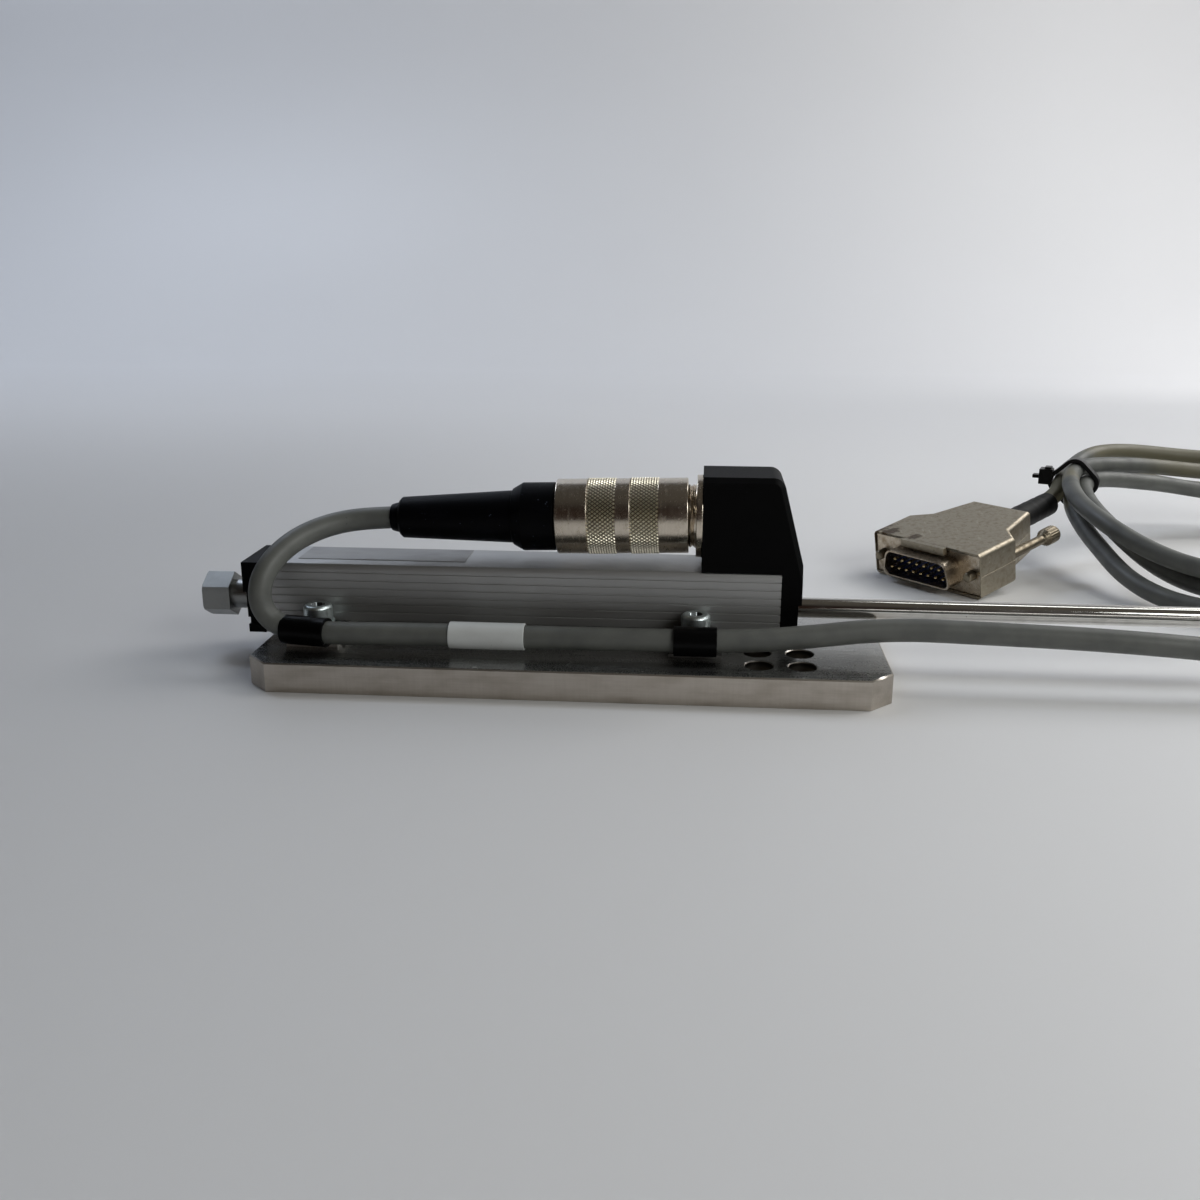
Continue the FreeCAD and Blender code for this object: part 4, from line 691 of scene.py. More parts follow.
class Finishes:
    """Every finish of the part, by its use."""

    PLATE = PlateSteel("plate_steel", "ground_plate")
    PROFILE = Metal(
        "profile_anodised", "anodised_profile", (0.47, 0.47, 0.465), (0.30, 0.30, 0.295), 0.48, Lay.ALONG,
        grain=0.45, grain_depth=0.005, patch=20.0, patch_share=0.25, speck=2.6, speck_share=0.05,
    )
    CAP = Moulding(
        "cap_moulding", "black_moulding", (0.0012, 0.0012, 0.0013), 0.55,
        grain=0.3, grain_depth=0.008, dust=1.8, dust_share=0.08,
        dust_colour=(0.03, 0.03, 0.032), rub_and_sheen=(0.003, 0.003, 0.003), shine=0.07,
    )
    ZINC = ScrewZinc(
        "screw_zinc", "zinc_screws", (0.78, 0.86, 0.86), (0.50, 0.57, 0.57), 0.33,
        grain=0.3, patch=2.5, speck=0.9,
        sockets=tuple((spot, side * CLAMP_SCREW_Y) for spot in CLAMP_SCREW_X for side in (-1, 1)),
    )
    CLAMP = Metal(
        "clamp_sheet", "clamp_sheet", (0.80, 0.79, 0.76), (0.54, 0.52, 0.48), 0.5, Lay.ALONG,
        grain=0.3, patch=4.0, patch_share=0.4,
    )
    # A darker copy of the clamp sheet: painted shade on the front right clamp.
    CLAMP_PAINTED_SHADE = Metal(
        "clamp_dark", "clamp_sheet", (0.24, 0.235, 0.225), (0.15, 0.145, 0.135), 0.55, Lay.ALONG,
        grain=0.3, patch=4.0, patch_share=0.4,
    )
    BRONZE = Metal("bush_bronze", "bronze_bush", (0.56, 0.40, 0.20), (0.35, 0.24, 0.13), 0.38)
    SEAL = Moulding("seal_rubber", "seal_rubber", (0.012, 0.012, 0.012), 0.62)
    TRACK = Moulding("track_board", "track_board", (0.035, 0.05, 0.03), 0.45)
    TYPE_PLATE = Film(
        "type_film", "type_film", (0.31, 0.31, 0.31), (0.24, 0.24, 0.24), 0.48, metallic=0.5
    )
    ROD = Metal(
        "rod_polished", "polished_rod", (0.70, 0.685, 0.65), (0.34, 0.32, 0.29), 0.10, Lay.ALONG,
        grain_depth=0.001, patch=3.0, patch_share=0.3, speck_share=0.10,
    )
    STOP = Metal(
        "stop_metal", "stop_metal", (0.33, 0.335, 0.325), (0.25, 0.255, 0.25), 0.38,
        grain=0.25, grain_depth=0.006, patch=4.0,
    )
    SPRING = Metal("spring_steel", "spring_steel", (0.55, 0.54, 0.52), (0.3, 0.29, 0.27), 0.3)
    CARRIER = Moulding("carrier_plastic", "carrier_plastic", (0.5, 0.49, 0.45), 0.5)
    CONTACT = Metal("contact_gold", "contact_metal", (0.83, 0.66, 0.36), (0.50, 0.37, 0.18), 0.24)
    CLIP = Moulding(
        "clip_nylon", "clip_nylon", (0.0010, 0.0010, 0.0011), 0.34,
        grain=0.6, dust=3.4, dust_share=0.09,
        dust_colour=(0.2, 0.2, 0.2), rub_and_sheen=(0.003, 0.003, 0.003), shine=0.12,
    )
    NICKEL = Metal(
        "plug_nickel", "plated_metal", (0.74, 0.665, 0.56), (0.42, 0.34, 0.26), 0.22, Lay.AROUND,
        grain_depth=0.002, patch=1.4, patch_share=0.28,
        speck=0.8, speck_share=0.14, speck_colour=(0.12, 0.075, 0.045),
    )
    KNURL = Knurling(
        "knurl_nickel", "plated_metal", (0.84, 0.79, 0.65), (0.58, 0.51, 0.38), 0.30,
        grain_depth=0.002, patch=3.5, patch_share=0.25, speck=2.0, speck_share=0.08,
        origin=PLUG_SEAT.origin, axis=tuple(PLUG_SEAT.turn.col[0]), low=8.88, high=9.16,
    )
    # The insert's light blue rubbed streaks are painted reflection.
    INSERT = Moulding(
        "insert_plastic", "insert_plastic", (0.0042, 0.0130, 0.066), 0.26, grain=0.3,
        dust_colour=(0.02, 0.03, 0.09), rub_and_sheen=(0.009, 0.034, 0.15), shine=0.4,
    )
    BOOT = Moulding(
        "boot_plastic", "boot_plastic", (0.0011, 0.0012, 0.0018), 0.44,
        grain=0.3, grain_depth=0.010, dust=1.0, dust_share=0.24,
        dust_colour=(0.045, 0.055, 0.075), rub_and_sheen=(0.0035, 0.004, 0.006), shine=0.07,
    )
    JACKET = Jacket("cable_jacket", "cable_jacket")
    TAG = Film("tag_film", "tag_film", (0.62, 0.64, 0.63), (0.50, 0.51, 0.50), 0.42)
    SHRINK = Moulding(
        "shrink_rubber", "shrink_rubber", (0.011, 0.0105, 0.0105), 0.58,
        grain=1.2, grain_depth=0.05, dust=1.2,
        dust_colour=(0.05, 0.05, 0.05), rub_and_sheen=(0.018, 0.018, 0.018), shine=0.25,
    )
    TIE = Moulding(
        "tie_nylon", "clip_nylon", (0.0035, 0.0035, 0.0037), 0.36,
        grain=0.5, dust=2.0, dust_share=0.08,
        dust_colour=(0.06, 0.06, 0.06), rub_and_sheen=(0.006, 0.006, 0.006), shine=0.3,
    )
    SHELL = Metal(
        "shell_plating", "shell_plating", (0.58, 0.51, 0.41), (0.24, 0.16, 0.09), 0.28,
        grain=0.3, grain_depth=0.006, patch=1.8, patch_share=0.65,
        speck=0.7, speck_share=0.3, speck_colour=(0.06, 0.038, 0.02),
    )
    HOOD = Casting(
        "hood_casting", "hood_casting", (0.385, 0.345, 0.27), (0.19, 0.15, 0.10), 0.40,
        grain=0.30, grain_depth=0.016, patch=1.4, patch_share=0.42,
        speck=0.75, speck_share=0.28, speck_colour=(0.09, 0.06, 0.032),
        stains=(((87.0, 90.9, 13.5), 6.0), ((90.5, 86.0, 14.5), 3.6), ((97.0, 79.0, 14.2), 2.6)),
    )
    LOCK = Metal(
        "lock_steel", "lock_steel", (0.26, 0.225, 0.165), (0.11, 0.08, 0.05), 0.38,
        grain=0.4, grain_depth=0.006, patch=2.0, patch_share=0.6, speck=0.8, speck_share=0.25,
    )


def rounded(outline: Sequence[Pair], radius: float, loop: bool = False) -> list[Pair]:
    """Round the corners of an outline.

    Args:
        outline: The corners.
        radius: The radius at each corner, less where the sides are short.
        loop: Whether the last corner joins the first.

    Returns:
        The points of the rounded outline.
    """
    points = [Vector(point) for point in outline]
    count = len(points)
    result: list[Pair] = []
    for index, point in enumerate(points):
        if not loop and index in (0, count - 1):
            result.append(tuple(point))
            continue
        back = points[index - 1] - point
        ahead = points[(index + 1) % count] - point
        turn = math.pi - back.angle(ahead, math.pi)
        reach = min(radius * math.tan(turn / 2), ROUND_SHARE * back.length, ROUND_SHARE * ahead.length)
        if turn < STRAIGHT or reach < TINY:
            result.append(tuple(point))
            continue
        first = point + back.normalized() * reach
        last = point + ahead.normalized() * reach
        for step in range(ROUND_STEPS + 1):
            part = step / ROUND_STEPS
            spot = first * (1 - part) ** 2 + point * (2 * part * (1 - part)) + last * part**2
            result.append(tuple(spot))
    return result


def linked(name: str, data: bpy.types.ID) -> bpy.types.Object:
    """Put a mesh, a curve, a camera or a light into the scene.

    Args:
        name: The object's name.
        data: What the object holds.

    Returns:
        The object, at the origin.
    """
    made = bpy.data.objects.new(name, data)
    bpy.context.scene.collection.objects.link(made)
    return made


def evaluated(piece: bpy.types.Object) -> bpy.types.Mesh:
    """Give a new mesh of what a piece's modifiers or its curve make."""
    bpy.context.view_layer.update()
    return bpy.data.meshes.new_from_object(piece.evaluated_get(bpy.context.evaluated_depsgraph_get()))


def bake(piece: bpy.types.Object) -> None:
    """Turn what a piece's modifiers make into its plain mesh.

    Args:
        piece: The piece, already in the scene.
    """
    old, name = piece.data, piece.data.name
    made = evaluated(piece)
    piece.modifiers.clear()
    piece.data = made
    bpy.data.meshes.remove(old)
    made.name = name


def finished(shape: bmesh.types.BMesh, name: str, finish: Finish) -> bpy.types.Object:
    """Turn a built shape into a shaded object.

    Args:
        shape: The built shape, which is freed.
        name: The piece's name.
        finish: Its finish.

    Returns:
        The object, at the origin.
    """
    mesh = bpy.data.meshes.new(name)
    shape.to_mesh(mesh)
    shape.free()
    mesh.materials.append(finish.material())
    mesh.shade_smooth()
    mesh.set_sharp_from_angle(angle=SHARP_ANGLE)
    piece = linked(name, mesh)
    weights = piece.modifiers.new("weights", "WEIGHTED_NORMAL")
    weights.keep_sharp = True
    bake(piece)
    return piece


def lathe(
    name: str,
    outline: Sequence[Pair],
    seat: Seat,
    finish: Finish,
    segments: int,
    loop: bool = False,
    shape: Shape | None = None,
) -> bpy.types.Object:
    """Turn an outline about a seat's first axis.

    Args:
        name: The piece's name.
        outline: Places along the axis with their radii, in millimetres.
        seat: Where the axis lies.
        finish: The piece's finish.
        segments: How many sides the turn has.
        loop: Whether the outline is closed, for a ring.
        shape: A change of each point, for flats and threads.

    Returns:
        The piece.
    """
    made = bmesh.new()
    rings = []
    for along, radius in outline:
        if radius < TINY:
            rings.append([made.verts.new(seat.at(along))])
            continue
        ring = []
        for step in range(segments):
            angle = 2 * math.pi * step / segments
            spot = (along, radius * math.cos(angle), radius * math.sin(angle))
            ring.append(made.verts.new(seat.at(*(shape(*spot) if shape else spot))))
        rings.append(ring)
    followers = rings[1:] + (rings[:1] if loop else [])
    for first, second in zip(rings, followers):
        for step in range(segments):
            ahead = (step + 1) % segments
            corners = [
                first[step % len(first)],
                first[ahead % len(first)],
                second[ahead % len(second)],
                second[step % len(second)],
            ]
            made.faces.new(list(dict.fromkeys(corners)))
    bmesh.ops.recalc_face_normals(made, faces=made.faces)
    return finished(made, name, finish)


def turned_piece(
    node: str, body: Body, finish: Finish, outline: Sequence[Pair], seat: Seat, segments: int, **form: Any
) -> bpy.types.Object:
    """Turn an outline into a piece that stands for a solid.

    Args:
        node: The solid's name.
        body: The body that carries it.
        finish: The piece's finish.
        outline: Places along the axis with their radii, in millimetres.
        seat: Where the axis lies.
        segments: How many sides the turn has.
        form: Whether the outline is closed, and a change of each point.

    Returns:
        The piece.
    """
    return settle(lathe(node + "_piece", outline, seat, finish, segments, **form), body, finish, node)


@dataclass(frozen=True)
class EdgeRule:
    """Which sharp edges of a shape are broken, and how far.

    The choice gets the middle of an edge in millimetres and its direction.
    """

    width: float
    angle: float = 32.0
    segments: int = 2
    profile: float = 0.55
    picks: Callable[[Vector, Vector], bool] | None = None

    def apply(self, shape: bmesh.types.BMesh) -> None:
        """Bevel the edges that the rule picks.

        Args:
            shape: The shape.
        """
        limit = math.radians(self.angle)
        sharp = []
        for edge in shape.edges:
            if edge.is_manifold and edge.calc_face_angle() > limit:
                first, last = (corner.co / MM for corner in edge.verts)
                if self.picks is None or self.picks((first + last) / 2, (last - first).normalized()):
                    sharp.append(edge)
        bmesh.ops.bevel(
            shape,
            geom=sharp,
            offset=self.width * MM,
            segments=self.segments,
            profile=self.profile,
            affect="EDGES",
            clamp_overlap=True,
        )


def softened(node: str, body: Body, finish: Finish, *rules: EdgeRule) -> bpy.types.Object:
    """Copy a solid, break the copy's sharp edges and let it stand for the solid.

    Args:
        node: The solid's name.
        body: The body that carries it.
        finish: The piece's finish.
        rules: Which edges are broken, in order.

    Returns:
        The piece.
    """
    made = bmesh.new()
    made.from_mesh(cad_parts[node].data)
    bmesh.ops.remove_doubles(made, verts=made.verts, dist=WELD)
    bmesh.ops.dissolve_limit(
        made, angle_limit=FLAT_ANGLE, verts=made.verts, edges=made.edges, use_dissolve_boundaries=False
    )
    for rule in rules:
        rule.apply(made)
    return settle(finished(made, node + "_piece", finish), body, finish, node)


def extruded(
    name: str, outline: Sequence[Pair], start: float, end: float, seat: Seat, finish: Finish, edge: float
) -> bpy.types.Object:
    """Extrude an outline along a seat's first axis.

    Args:
        name: The piece's name.
        outline: The corners across the axis, in millimetres.
        start: Where it starts along the axis.
        end: Where it ends.
        seat: Where the axis lies.
        finish: The piece's finish.
        edge: The broken edge in millimetres.

    Returns:
        The piece.
    """
    made = bmesh.new()
    near = [made.verts.new(seat.at(start, *point)) for point in outline]
    far = [made.verts.new(seat.at(end, *point)) for point in outline]
    count = len(outline)
    made.faces.new(near)
    made.faces.new(list(reversed(far)))
    for index in range(count):
        ahead = (index + 1) % count
        made.faces.new([near[ahead], near[index], far[index], far[ahead]])
    bmesh.ops.recalc_face_normals(made, faces=made.faces)
    EdgeRule(edge, angle=40.0).apply(made)
    return finished(made, name, finish)


def settle(piece: bpy.types.Object, body: Body, finish: Finish, *nodes: str) -> bpy.types.Object:
    """Let a piece ride a body and stand for its nodes.

    Args:
        piece: The piece.
        body: The body that carries it.
        finish: Its finish, not used.
        nodes: The solids that it stands for.

    Returns:
        The piece.
    """
    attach(piece, body.value)
    if nodes:
        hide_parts(*nodes)
    LOG.info("%s rides %s", piece.name, body.value)
    return piece


def repaint(node: str, finish: Finish) -> None:
    """Give a solid that stays its finish.

    Args:
        node: The solid's name.
        finish: Its finish.
    """
    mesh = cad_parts[node].data
    mesh.materials.clear()
    mesh.materials.append(finish.material())
    LOG.info("%s repainted", node)


class Growth(NodeTree):
    """A geometry tree that grows a repeated shape, with named inputs."""

    def __init__(self, name: str, inputs: Sequence[tuple[str, str]]) -> None:
        """Make the tree with its inputs.

        Args:
            name: The tree's name.
            inputs: The name and socket type of each input.
        """
        tree = bpy.data.node_groups.new(name, "GeometryNodeTree")
        super().__init__(tree)
        tree.interface.new_socket(name="Geometry", in_out="INPUT", socket_type="NodeSocketGeometry")
        tree.interface.new_socket(name="Geometry", in_out="OUTPUT", socket_type="NodeSocketGeometry")
        self.keys = {}
        for label, kind in inputs:
            made = tree.interface.new_socket(name=label, in_out="INPUT", socket_type=kind)
            self.keys[label] = made.identifier
        self.entry = tree.nodes.new("NodeGroupInput")

    def value(self, label: str) -> Field:
        """Give one of the tree's inputs."""
        return Field(self, self.entry.outputs[label])

    def close(self, instances: Field) -> None:
        """Make the instances real, give them the material and end the tree.

        Args:
            instances: The instances.
        """
        real = self.node("GeometryNodeRealizeInstances", None, {0: instances})
        inputs = {"Geometry": real, "Material": self.value("Material")}
        dressed = self.node("GeometryNodeSetMaterial", None, inputs)
        end = self.tree.nodes.new("NodeGroupOutput")
        self.tree.links.new(dressed.socket, end.inputs[0])

    def grow(self, name: str, points: Sequence[Vector], finish: Finish, **values: Any) -> bpy.types.Object:
        """Run the tree once and keep its result as a plain mesh.

        Args:
            name: The piece's name.
            points: The points that the tree starts from.
            finish: The piece's finish.
            values: The tree's inputs, named with underscores for spaces.

        Returns:
            The piece.
        """
        mesh = bpy.data.meshes.new(name)
        mesh.from_pydata([tuple(point) for point in points], [], [])
        piece = linked(name, mesh)
        modifier = piece.modifiers.new("growth", "NODES")
        modifier.node_group = self.tree
        modifier[self.keys["Material"]] = finish.material()
        for label, value in values.items():
            modifier[self.keys[label.replace("_", " ")]] = value
        bake(piece)
        return piece


class CopyTree(Growth):
    """Copies of one piece on points, each turned a little further about the piece's axis."""

    TURN_STEP = 0.7

    def __init__(self) -> None:
        """Build the tree."""
        inputs = (
            ("Piece", "NodeSocketObject"),
            ("Axis", "NodeSocketVector"),
            ("Turn Step", "NodeSocketFloat"),
            ("Material", "NodeSocketMaterial"),
        )
        super().__init__("copies_on_points", inputs)
        piece = self.node("GeometryNodeObjectInfo", None, {"Object": self.value("Piece")}, "Geometry")
        angle = self.node("GeometryNodeInputIndex") * self.value("Turn Step")
        turn_inputs = {"Axis": self.value("Axis"), "Angle": angle}
        turn = self.node("FunctionNodeAxisAngleToRotation", None, turn_inputs)
        inputs = {"Points": self.value("Geometry"), "Instance": piece, "Rotation": turn}
        self.close(self.node("GeometryNodeInstanceOnPoints", None, inputs))

    def lay(
        self, node: str, source: bpy.types.Object, points: Sequence[Vector], axis: Vector, finish: Finish
    ) -> None:
        """Copy a source piece to points, remove it and let the copies stand for a solid of the sensor.

        Args:
            node: The solid's name.
            source: The piece, built about the origin.
            points: Where the copies go.
            axis: The axis that each copy is turned about.
            finish: The copies' finish.
        """
        piece = self.grow(node + "_piece", points, finish, Piece=source, Axis=axis, Turn_Step=self.TURN_STEP)
        old = source.data
        bpy.data.objects.remove(source)
        bpy.data.meshes.remove(old)
        piece.data.set_sharp_from_angle(angle=SHARP_ANGLE)
        settle(piece, Body.SENSOR, finish, node)


class KnurlTree(Growth):
    """A band of diamond knurling: blunt pyramids in staggered columns round a seat's first axis."""

    BLUNT = 0.34

    def __init__(self) -> None:
        """Build the tree."""
        inputs = (
            ("Radius", "NodeSocketFloat"),
            ("Start", "NodeSocketFloat"),
            ("Length", "NodeSocketFloat"),
            ("Around", "NodeSocketInt"),
            ("Columns", "NodeSocketInt"),
            ("Height", "NodeSocketFloat"),
            ("Material", "NodeSocketMaterial"),
        )
        super().__init__("diamond_knurl", inputs)
        around, columns = self.value("Around"), self.value("Columns")
        radius, length = self.value("Radius"), self.value("Length")
        dots = self.node("GeometryNodePoints", None, {"Count": around * columns})
        index = self.node("GeometryNodeInputIndex")
        column = (index / around + 0.001).floor()
        angle = (index % around + (column % 2.0) * 0.5) * (2.0 * math.pi) / around
        step = length / columns
        along = self.value("Start") + (column + 0.5) * step
        spot = self.joined(along, angle.cosine() * radius, angle.sine() * radius)
        placed = self.node("GeometryNodeSetPosition", None, {"Geometry": dots, "Position": spot})
        pyramid = self.node(
            "GeometryNodeMeshCone",
            {"fill_type": "NGON"},
            {"Vertices": 4, "Radius Top": self.BLUNT, "Radius Bottom": 1.0, "Depth": 1.0},
        )
        turn = self.node("FunctionNodeEulerToRotation", None, {0: self.joined(angle - math.pi / 2)})
        size = self.joined(step, radius * math.pi / around, self.value("Height"))
        inputs = {"Points": placed, "Instance": pyramid, "Rotation": turn, "Scale": size}
        self.close(self.node("GeometryNodeInstanceOnPoints", None, inputs))


@dataclass(frozen=True)
class Lamp:
    """One soft lamp: its place, the point that it faces and its size in metres, its power and its colour."""

    name: str
    spot: Triple
    aim: Triple
    size: Pair
    power: float
    colour: Triple

    def hang(self) -> None:
        """Hang the lamp."""
        data = bpy.data.lights.new(self.name, "AREA")
        data.shape = "RECTANGLE"
        data.size, data.size_y = self.size
        data.energy = self.power
        data.color = self.colour
        lamp = linked(self.name, data)
        lamp.location = self.spot
        lamp.rotation_mode = "QUATERNION"
        lamp.rotation_quaternion = (Vector(self.aim) - Vector(self.spot)).to_track_quat("-Z", "Y")


@dataclass
class Studio:
    """The camera at the photograph's place, a pale paper sweep and soft light."""

    eye: Triple = (29.48, -279.92, 98.23)
    right: Triple = (0.9965, 0.0833, 0.0016)
    forward: Triple = (-0.0799, 0.9556, -0.2836)
    lens: float = 35.14
    sensor: float = 36.0
    nearest: float = 0.01
    sweep_wide: float = 3.0
    sweep_front: float = -1.3
    sweep_bend: float = 0.75
    sweep_round: float = 0.35
    sweep_tall: float = 1.4
    sweep_steps: int = 12
    sweep_below: float = 0.00004
    paper: Triple = (0.70, 0.70, 0.705)
    paper_cloud: Triple = (0.66, 0.66, 0.665)
    paper_left_painted_shade: Triple = (0.54, 0.54, 0.543)
    paper_right_painted_light: Triple = (0.815, 0.813, 0.81)
    room_front: Triple = (0.016, 0.012, 0.010)
    room_back: Triple = (0.050, 0.053, 0.058)
    room_warm: Triple = (0.019, 0.0098, 0.0062)
    room_beside: Triple = (0.13, 0.128, 0.124)
    room_top_left: Triple = (0.034, 0.032, 0.029)
    room_top_right: Triple = (0.085, 0.076, 0.064)
    lamps: tuple[Lamp, ...] = (
        Lamp("lamp_key", (0.80, 0.40, 0.62), (0.15, 0.05, 0.0), (0.7, 0.5), 4.5, (1.0, 0.985, 0.975)),
        Lamp("lamp_right", (0.90, 0.45, 1.40), (0.80, 1.1, 0.5), (1.2, 0.4), 4.2, (0.97, 1.0, 1.0)),
        Lamp("lamp_wall", (-0.78, 0.70, 1.22), (-0.56, 1.1, 0.72), (0.5, 0.5), 8.0, (0.75, 0.84, 1.0)),
        Lamp("lamp_rim", (0.60, 0.60, 0.30), (0.60, 1.1, 0.2), (0.5, 0.3), 0.9, (1.0, 0.98, 0.97)),
        Lamp("lamp_low", (0.75, -0.55, 0.55), (0.30, 0.0, 0.0), (0.6, 0.4), 3.7, (0.98, 1.0, 0.98)),
        Lamp("lamp_strip", (0.55, -1.0, 0.24), (0.12, 0.0, 0.02), (0.7, 0.14), 0.35, (1.0, 0.99, 0.97)),
    )

    def camera(self) -> None:
        """Set the camera."""
        ahead = Vector(self.forward).normalized()
        right = Vector(self.right)
        right = (right - ahead * right.dot(ahead)).normalized()
        up = right.cross(ahead)
        data = bpy.data.cameras.new("camera")
        data.sensor_width = self.sensor
        data.lens = self.lens
        data.clip_start = self.nearest
        view = linked("camera", data)
        turn = Matrix((right, up, -ahead)).transposed().to_4x4()
        view.matrix_world = Matrix.Translation(Vector(self.eye) * MM) @ turn
        bpy.context.scene.camera = view

    def paper_paint(self) -> bpy.types.Material:
        """Paint the paper: clouded at the back, and in front with painted shade at the left and painted light
        at the right.

        Returns:
            The paper's material.
        """
        paint = Paint("floor_paper")
        cloud = paint.noise(160.0, detail=2.0)
        tone = paint.mix(cloud * 0.5, self.paper, self.paper_cloud)
        across, along, _ = paint.parts(paint.place())
        # Painted shade at the left of the floor, painted light at the right.
        fall = paint.mix(across.rise(-0.20, 0.17), self.paper_left_painted_shade, self.paper_right_painted_light)
        tone = paint.mix(1.0 - along.rise(0.10, 0.5), tone, fall)
        normal = paint.bump(paint.noise(0.5, detail=2.0), 0.08, 0.05)
        paint.surface(Base_Color=tone, Roughness=0.55, Normal=normal)
        return paint.material

    def sweep(self) -> None:
        """Lay the pale floor that bends up into the backdrop."""
        line = [(self.sweep_front, 0.0), (self.sweep_bend, 0.0)]
        for step in range(1, self.sweep_steps + 1):
            angle = math.pi / 2 * step / self.sweep_steps
            along = self.sweep_bend + self.sweep_round * math.sin(angle)
            line.append((along, self.sweep_round * (1 - math.cos(angle))))
        line.append((line[-1][0], self.sweep_tall))
        points = []
        for across in (-self.sweep_wide, self.sweep_wide):
            points += [(across, along, up - self.sweep_below) for along, up in line]
        count = len(line)
        faces = [(index, index + count, index + count + 1, index + 1) for index in range(count - 1)]
        mesh = bpy.data.meshes.new("floor_sweep")
        mesh.from_pydata(points, [], faces)
        mesh.shade_smooth()
        mesh.materials.append(self.paper_paint())
        floor = linked("floor_sweep", mesh)

    def sky(self) -> None:
        """Fill the room: dim and warm in front, lighter behind and above, lightest at the front right."""
        world = bpy.data.worlds.new("studio_room")
        world.use_nodes = True
        room = NodeTree(world.node_tree)
        direction = room.node("ShaderNodeTexCoord", None, None, "Generated")
        across, along, up = room.parts(direction)
        behind = along.rise(-0.4, 0.4)
        above = up.rise(0.55, 0.92)
        warm = (1.0 - along.rise(-0.9, -0.5)) * (1.0 - up.rise(0.35, 0.75))
        beside = across.rise(0.08, 0.5) * (1.0 - along.rise(-0.3, 0.15)) * up.rise(-0.05, 0.1)
        tone = room.mix(behind, self.room_front, self.room_back)
        tone = room.mix(warm * 0.9, tone, self.room_warm)
        tone = room.mix(beside * 0.8, tone, self.room_beside)
        top = room.mix(across.rise(-0.4, 0.3), self.room_top_left, self.room_top_right)
        tone = room.mix(above, tone, top)
        light = room.node("ShaderNodeBackground", None, {"Color": tone, "Strength": 1.0})
        end = room.tree.nodes.new("ShaderNodeOutputWorld")
        room.tree.links.new(light.socket, end.inputs["Surface"])
        bpy.context.scene.world = world

    def build(self) -> None:
        """Set camera, sweep, room and lamps."""
        self.camera()
        self.sweep()
        self.sky()
        for lamp in self.lamps:
            lamp.hang()
        bpy.context.scene.view_settings.view_transform = "Standard"
        LOG.info("studio set")


@dataclass
class BasePlate:
    """The plate with its holes."""

    edge: float = 0.2

    def build(self) -> None:
        """Make the plate."""
        softened("base_plate", Body.SENSOR, Finishes.PLATE, EdgeRule(self.edge, angle=50.0))


@dataclass
class Housing:
    """The profile, its caps, the connector head and their small parts."""

    cap_edge: float = 0.22
    profile_edge: float = 0.05
    label_edge: float = 0.03
    stroke: float = 80.0
    screw_x: Pair = (-82.1, 55.2)
    screw_y: float = 7.0
    screw_z: float = 22.4
    screw_head: float = 1.7
    screw_tall: float = 1.6
    screw_shank: float = 1.0
    screw_length: float = 11.0
    screw_wall: float = 0.5
    screw_face: float = 0.25
    screw_rim: float = 0.45
    screw_round: float = 0.35
    cross_wide: float = 0.5
    cross_deep: float = 0.9
    cross_margin: float = 0.5
    cross_rings: tuple[float, ...] = (0.08, 0.16, 0.3, 0.45, 0.6, 0.7)

    def clear_of_screws(self, middle: Vector, direction: Vector) -> bool:
        """Tell whether an edge lies clear of the thin walls round the cap screws.

        Args:
            middle: The edge's middle.
            direction: Its direction, not needed here.

        Returns:
            Whether the edge may be broken.
        """
        away = math.hypot(abs(middle.y) - self.screw_y, middle.z - self.screw_z)
        return away > self.screw_head + self.screw_wall

    def spring(self) -> None:
        """Make the return spring."""
        piece = softened("return_spring", Body.SENSOR, Finishes.SPRING)
        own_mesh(piece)

    def cap_screw(self, inward: int) -> bpy.types.Object:
        """Make one cross-recessed cap screw about the origin.

        Args:
            inward: 1 if it points along the rod, -1 if against it.

        Returns:
            The screw.
        """
        head, shank, tall = self.screw_head, self.screw_shank, self.screw_tall
        outline = [(self.screw_face, 0.0)]
        outline += [(self.screw_face, head * part) for part in self.cross_rings]
        outline += [(self.screw_face, head - self.screw_round), (self.screw_rim, head), (tall, head)]
        outline += [(tall, shank), (self.screw_length, shank), (self.screw_length, 0.0)]
        turned = [(inward * along, radius) for along, radius in outline]

        def recess(along: float, across: float, up: float) -> Triple:
            """Sink the cross into the head's face.

            Args:
                along: A point's place along the screw.
                across: Its place across.
                up: Its height.

            Returns:
                The point's new place.
            """
            near = min(abs(across), abs(up))
            on_face = abs(along) < self.screw_rim and math.hypot(across, up) < head - self.cross_margin
            sunk = self.cross_deep if on_face and near < self.cross_wide / 2 else 0.0
            return (along + inward * sunk, across, up)

        return lathe("cap_screw_source", turned, Seat(), Finishes.ZINC, 48, shape=recess)

    def build(self, copies: CopyTree) -> None:
        """Make the housing's pieces.

        Args:
            copies: The tree that repeats the screws.
        """
        profile_edges = EdgeRule(self.profile_edge, angle=50.0)
        softened("housing_profile", Body.SENSOR, Finishes.PROFILE, profile_edges)
        cap_edges = EdgeRule(self.cap_edge, picks=self.clear_of_screws)
        for node in ("rear_cap", "front_head"):
            softened(node, Body.SENSOR, Finishes.CAP, cap_edges)
        axis = Vector((1.0, 0.0, 0.0))
        for name, face, inward in (("rear", self.screw_x[0], 1), ("front", self.screw_x[1], -1)):
            points = [Vector((face, side * self.screw_y, self.screw_z)) * MM for side in (-1, 1)]
            copies.lay(f"cap_screws_{name}", self.cap_screw(inward), points, axis, Finishes.ZINC)
        softened("type_plate", Body.SENSOR, Finishes.TYPE_PLATE, EdgeRule(self.label_edge))
        for node in ("rear_wiper", "front_wiper"):
            repaint(node, Finishes.SEAL)
        for node in ("rear_bush", "front_bush"):
            repaint(node, Finishes.BRONZE)
        repaint("resistance_element", Finishes.TRACK)
        self.spring()


